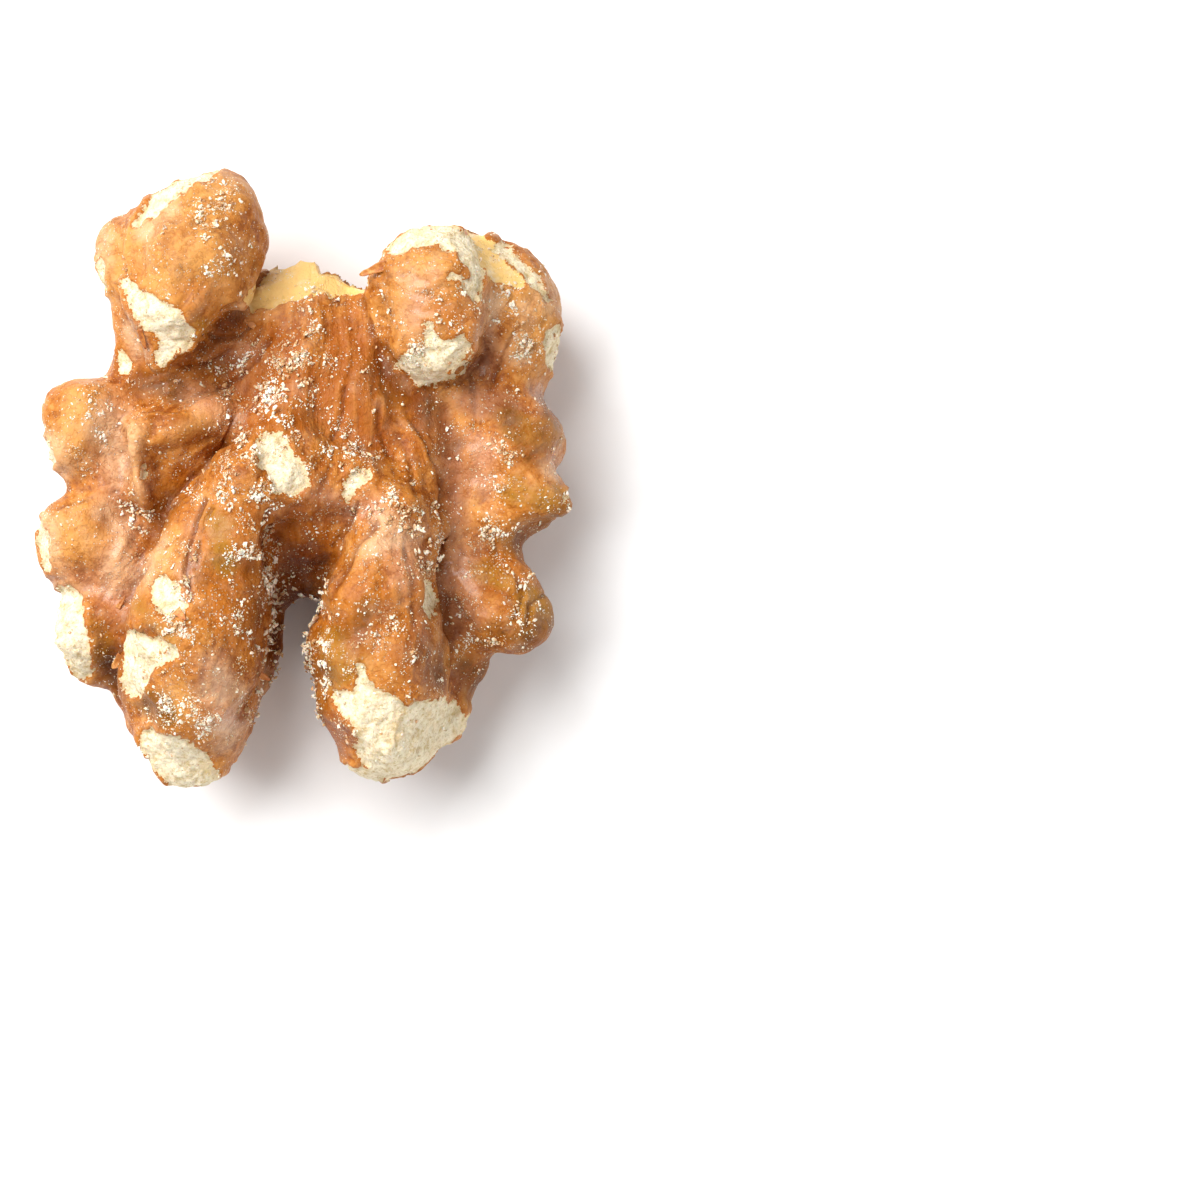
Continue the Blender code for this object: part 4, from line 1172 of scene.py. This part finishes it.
def scatter(corners, density, count, rng):
    """Random points on the surface, thick where the density is high, with their normals."""
    a, b, c = (places[corners[:, k]] for k in range(3))
    cross = np.cross(b - a, c - a)
    weight = np.linalg.norm(cross, axis=1) * density[corners].mean(axis=1)
    chosen = rng.choice(len(corners), count, p=weight / weight.sum())
    u, v = rng.random((2, count, 1))
    flip = u + v > 1
    u, v = np.where(flip, 1 - u, u), np.where(flip, 1 - v, v)
    spots = a[chosen] + u * (b - a)[chosen] + v * (c - a)[chosen]
    return spots, normals[corners[chosen, 0]]


def clumped(spots, ups, grains, spread, rng):
    """Several grains round each spot, a normal distribution wide and lying a little higher."""
    chosen = np.repeat(np.arange(len(spots)), grains)
    moved = spots[chosen] + rng.normal(0.0, spread, (len(chosen), 3)) + 0.4 * spread * ups[chosen]
    return moved, ups[chosen]


crowd = smooth_step(marks(places, CRUMB_PATHS.values()), *CROWD_EDGE)
uneven = np.clip(0.5 + 1.1 * noise(places, 1.1, 81), 0.0, 1.5) ** 2
level = smooth_step(normals[:, 2], -0.1, 0.6) * shown
clear = 1 - 0.5 * zone(GLOSS_AND_PAINTED_SHEEN)
density = (SPARSE + CROWDED * crowd) * uneven * clear * level + FALLEN * (normals[:, 2] > 0)
bead_density = (smooth_step(marks(places, BEAD_PATHS.values()), *BEAD_EDGE) + 1e-4) * shown
rng = np.random.default_rng(CRUMB_SEED)
corners = triangles_of(kernel_mesh)
dust_spots = scatter(corners, density + DUST_VEIL * level * uneven, DUST_GRAINS, rng)
grain_spots = scatter(corners, density, CRUMB_GRAINS, rng)
clump_spots = clumped(*scatter(corners, density**1.5, CLUMPS, rng), CLUMP_GRAINS, 0.09, rng)
bead_spots = clumped(*scatter(corners, bead_density, BEADS, rng), BEAD_GRAINS, 0.1, rng)
print("dust:", DUST_GRAINS, "crumbs:", len(grain_spots[0]) + len(clump_spots[0]) + len(bead_spots[0]))

# %% Shape the crumbs
DENTS = (0.55, 1.25)
SQUASHED = ((0.7, 0.5, 0.35), (1.6, 1.0, 0.75))
LEAN = 0.45
STANDING = 0.35


def grain_sizes(count, least, spread, power, rng):
    """Radii from the least up: a random number from 0 to 1, raised to the power, times the spread."""
    return least + spread * rng.random(count) ** power


def unit_rows(values):
    """Each row divided by its length."""
    return values / np.linalg.norm(values, axis=-1, keepdims=True)


def lump_template(faces):
    """The corners and faces of a ball of radius 1, with twenty faces or eight."""
    if faces == 8:
        spots = np.array([(1, 0, 0), (-1, 0, 0), (0, 1, 0), (0, -1, 0), (0, 0, 1), (0, 0, -1)], float)
        ring = (0, 2, 1, 3)
        upper = [(ring[k], ring[(k + 1) % 4], 4) for k in range(4)]
        return spots, np.array(upper + [(b, a, 5) for a, b, _ in upper])
    ball = bmesh.new()
    bmesh.ops.create_icosphere(ball, subdivisions=1, radius=1.0)
    spots = np.array([vertex.co for vertex in ball.verts])
    triangles = np.array([[vertex.index for vertex in face.verts] for face in ball.faces])
    ball.free()
    return spots, triangles


def crumb_mesh(name, template, spots, ups, sizes, rng):
    """One mesh of lumps: each is dented, squashed along its normal and turned about it."""
    ball, faces = template
    count = len(spots)
    dents = rng.uniform(*DENTS, (count, len(ball), 1))
    scale = sizes[:, None] * rng.uniform(*SQUASHED, (count, 3))
    local = ball * dents * scale[:, None, :]
    up = unit_rows(ups + rng.normal(0.0, LEAN, (count, 3)))
    side = unit_rows(np.cross(up, rng.normal(size=(count, 3))))
    turn = np.stack([side, np.cross(up, side), up], axis=1)
    where = spots + ups * scale[:, 2:] * STANDING
    corners = np.clip(where[:, None, :] + local @ turn, *cad_box)
    indices = faces[None] + (np.arange(count) * len(ball))[:, None, None]
    mesh = bpy.data.meshes.new(name)
    mesh.from_pydata((corners.reshape(-1, 3) * MM).tolist(), [], indices.reshape(-1, 3).tolist())
    return mesh


spots, ups = (np.concatenate(rows) for rows in zip(grain_spots, clump_spots, bead_spots))
sizes = grain_sizes(len(spots), *CRUMB_SIZES, rng)
sizes[-len(bead_spots[0]):] *= BEAD_SCALE
crumb_data = crumb_mesh("crumbs", lump_template(20), spots, ups, sizes, rng)
dust_sizes = grain_sizes(DUST_GRAINS, *DUST_SIZES, rng)
dust_data = crumb_mesh("crumb_dust", lump_template(8), *dust_spots, dust_sizes, rng)
print("crumb triangles:", len(crumb_data.polygons), "dust triangles:", len(dust_data.polygons))


# %% The crumbs' finish, and where they are put down
def crumb_material():
    """Cream to straw by place, with the grain of dry meat."""
    material, tree, shader, place = new_material("crumb_meat")
    colours = use_group(
        tree, MOTTLE, Vector=place, Low=(0.50, 0.27, 0.11, 1), Middle=(0.74, 0.62, 0.45, 1),
        High=(0.84, 0.78, 0.67, 1), Fine=2.2)
    grain = use_group(tree, GRAIN, Vector=place)
    tree.links.new(colours["Color"], shader.inputs["Base Color"])
    tree.links.new(bumped(tree, grain["Height"], 0.03), shader.inputs["Normal"])
    tree.links.new(ramp(tree, grain["Value"], 0.0, 1.0, 0.95, 0.7), shader.inputs["Roughness"])
    shader.inputs["Subsurface Weight"].default_value = 0.2
    shader.inputs["Subsurface Scale"].default_value = 0.2 * MM
    return material


def put_down(name, mesh):
    """An object for a piece that rides on the kernel."""
    piece = place_object(name, mesh)
    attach(piece, "root")
    return piece


crumb_finish = crumb_material()
crumb_data.materials.append(crumb_finish)
dust_data.materials.append(crumb_finish)
put_down("crumbs", crumb_data)
put_down("crumb_dust", dust_data)

# %% [markdown]
# ## Torn flaps of skin
#
# At a few torn edges the dry skin curls away from the meat as a thin pointed
# flap. Noise on the kernel can't lift off it, so each flap is its own little
# sheet: a grid that runs from a root to a tip, narrows to a point and curls up.

# %% Flaps as root, tip, half width and rise
FLAPS = {
    "right_knob": ((4.4, 10.9), (3.0, 10.4), 0.3, 0.1),
    "left_leg": ((-9.2, -9.1), (-9.75, -9.7), 0.3, 0.35),
    "left_leg_spot": ((-6.2, -6.7), (-5.7, -7.2), 0.22, 0.2),
    "roof_top": ((0.2, 8.8), (0.5, 9.5), 0.25, 0.2),
    "roof_top_left": ((-2.4, 7.8), (-3.0, 8.2), 0.2, 0.2),
    "left_knob_foot": ((-8.2, 7.6), (-7.9, 6.6), 0.16, 0.15),
    "slot_left": ((-2.1, -10.0), (-1.6, -10.3), 0.2, 0.15),
    "left_valley": ((-9.5, -6.6), (-9.1, -6.0), 0.12, 0.25),
}
FLAP_GRID = (12, 7)
FLAP_THICKNESS = 0.05


def flap_points(root, tip, half_width, rise, seed):
    """Along the flap u goes from 0 to 1 and across it v from -1 to 1. Its height follows the surface
    between its ends and adds the rise times u squared. Its width falls as the root of 1 - u, and frays."""
    u, v = np.meshgrid(np.linspace(0, 1, FLAP_GRID[0]), np.linspace(-1, 1, FLAP_GRID[1]), indexing="ij")
    root, tip = np.array(root), np.array(tip)
    side = np.array([root[1] - tip[1], tip[0] - root[0]]) / np.linalg.norm(tip - root)
    ends = read_map(heights, map_low, np.array([[*root, 0.0], [*tip, 0.0]]))
    drop = np.clip(ends[1] - ends[0], -0.8, 0.4)
    frayed = noise(np.stack([u * 3, v * 0, u * 0 + seed], -1).reshape(-1, 3), 0.7, seed).reshape(u.shape)
    wide = half_width * np.sqrt(1.02 - u) * (1 + 0.3 * frayed)
    flat = root + u[..., None] * (tip - root) + (v * wide)[..., None] * side
    height = ends[0] - 0.1 + drop * u + rise * u**2 + 0.25 * wide * v**2
    return np.concatenate([flat, height[..., None]], axis=-1)


def grid_faces(rows, columns):
    """The four corners of each square of a grid whose corners are numbered row by row."""
    first = (np.arange(rows - 1)[:, None] * columns + np.arange(columns - 1)).ravel()
    return np.stack([first, first + columns, first + columns + 1, first + 1], axis=1)


sheets = [flap_points(*flap, 90 + k) for k, flap in enumerate(FLAPS.values())]
one_sheet = grid_faces(*FLAP_GRID)
flap_corners = np.clip(np.concatenate([sheet.reshape(-1, 3) for sheet in sheets]), *cad_box) * MM
flap_faces = np.concatenate([one_sheet + k * FLAP_GRID[0] * FLAP_GRID[1] for k in range(len(sheets))])
flap_data = bpy.data.meshes.new("skin_flaps")
flap_data.from_pydata(flap_corners.tolist(), [], flap_faces.tolist())
flap_data.shade_smooth()
print("flaps:", len(sheets), "with", len(flap_faces), "squares")


# %% The flaps' finish
def flap_material():
    """Thin dry skin: mottled golden brown with veins, and a little light through it."""
    material, tree, shader, place = new_material("dry_skin")
    mottle = use_group(
        tree, MOTTLE, Vector=place, Low=RUSSET_COLOUR, Middle=SKIN_MIDDLE, High=GOLDEN_COLOUR, Fine=1.2)
    veins = use_group(tree, VEINS, Vector=place)["Mask"]
    colour = blend_colours(tree, math(tree, "MULTIPLY", veins, 0.4), mottle["Color"], RUSSET_COLOUR)
    tree.links.new(colour, shader.inputs["Base Color"])
    tree.links.new(ramp(tree, mottle["Value"], 0.3, 0.7, 0.4, 0.6), shader.inputs["Roughness"])
    tree.links.new(bumped(tree, cloud(tree, place, 0.3, 4.0, 0.7), 0.05), shader.inputs["Normal"])
    return material


flap_data.materials.append(flap_material())
flaps = put_down("skin_flaps", flap_data)
thickness = flaps.modifiers.new("thickness", "SOLIDIFY")
thickness.thickness = FLAP_THICKNESS * MM
thickness.offset = 0.0

# %% [markdown]
# ## Floor and light
#
# The photograph has a bright white table and soft daylight from the upper left,
# so shadows are pale and fall to the lower right. A large area light gives that
# direction, and an even white world fills the shadows.

# %% Stage
FLOOR_HALF = 0.6
KEY_PLACE = (-0.27, 0.21, 0.42)
KEY_SIZE = 0.50
KEY_POWER = 7.0
FILL_PLACE = (0.34, -0.30, 0.30)
FILL_SIZE = 0.7
FILL_POWER = 2.0
WORLD_STRENGTH = 0.2
TABLE_LOW = (0.86, 0.85, 0.84, 1)
TABLE_HIGH = (0.90, 0.90, 0.90, 1)

floor_mesh = bpy.data.meshes.new("floor")
floor_corners = [(x * FLOOR_HALF, y * FLOOR_HALF, 0.0) for x, y in ((-1, -1), (1, -1), (1, 1), (-1, 1))]
floor_mesh.from_pydata(floor_corners, [], [(0, 1, 2, 3)])
floor_material, floor_tree, floor_shader, floor_place = new_material("white_table")
floor_clouds = ramp(floor_tree, cloud(floor_tree, floor_place, 6.0, 3.0), 0.3, 0.7)
floor_colour = blend_colours(floor_tree, floor_clouds, TABLE_LOW, TABLE_HIGH)
floor_tree.links.new(floor_colour, floor_shader.inputs["Base Color"])
floor_shader.inputs["Roughness"].default_value = 0.6
floor_mesh.materials.append(floor_material)
floor = place_object("floor", floor_mesh)


def soft_light(name, place, size, power):
    """A square area light that looks at the origin."""
    light = bpy.data.lights.new(name, "AREA")
    light.size = size
    light.energy = power
    piece = place_object(name, light)
    piece.location = place
    piece.rotation_euler = (-piece.location).to_track_quat("-Z", "Y").to_euler()


soft_light("key", KEY_PLACE, KEY_SIZE, KEY_POWER)
soft_light("fill", FILL_PLACE, FILL_SIZE, FILL_POWER)

world = bpy.data.worlds.new("daylight")
world.use_nodes = True
world.node_tree.nodes["Background"].inputs["Color"].default_value = (1.0, 1.0, 1.0, 1)
world.node_tree.nodes["Background"].inputs["Strength"].default_value = WORLD_STRENGTH
bpy.context.scene.world = world
bpy.context.scene.view_settings.view_transform = "Standard"
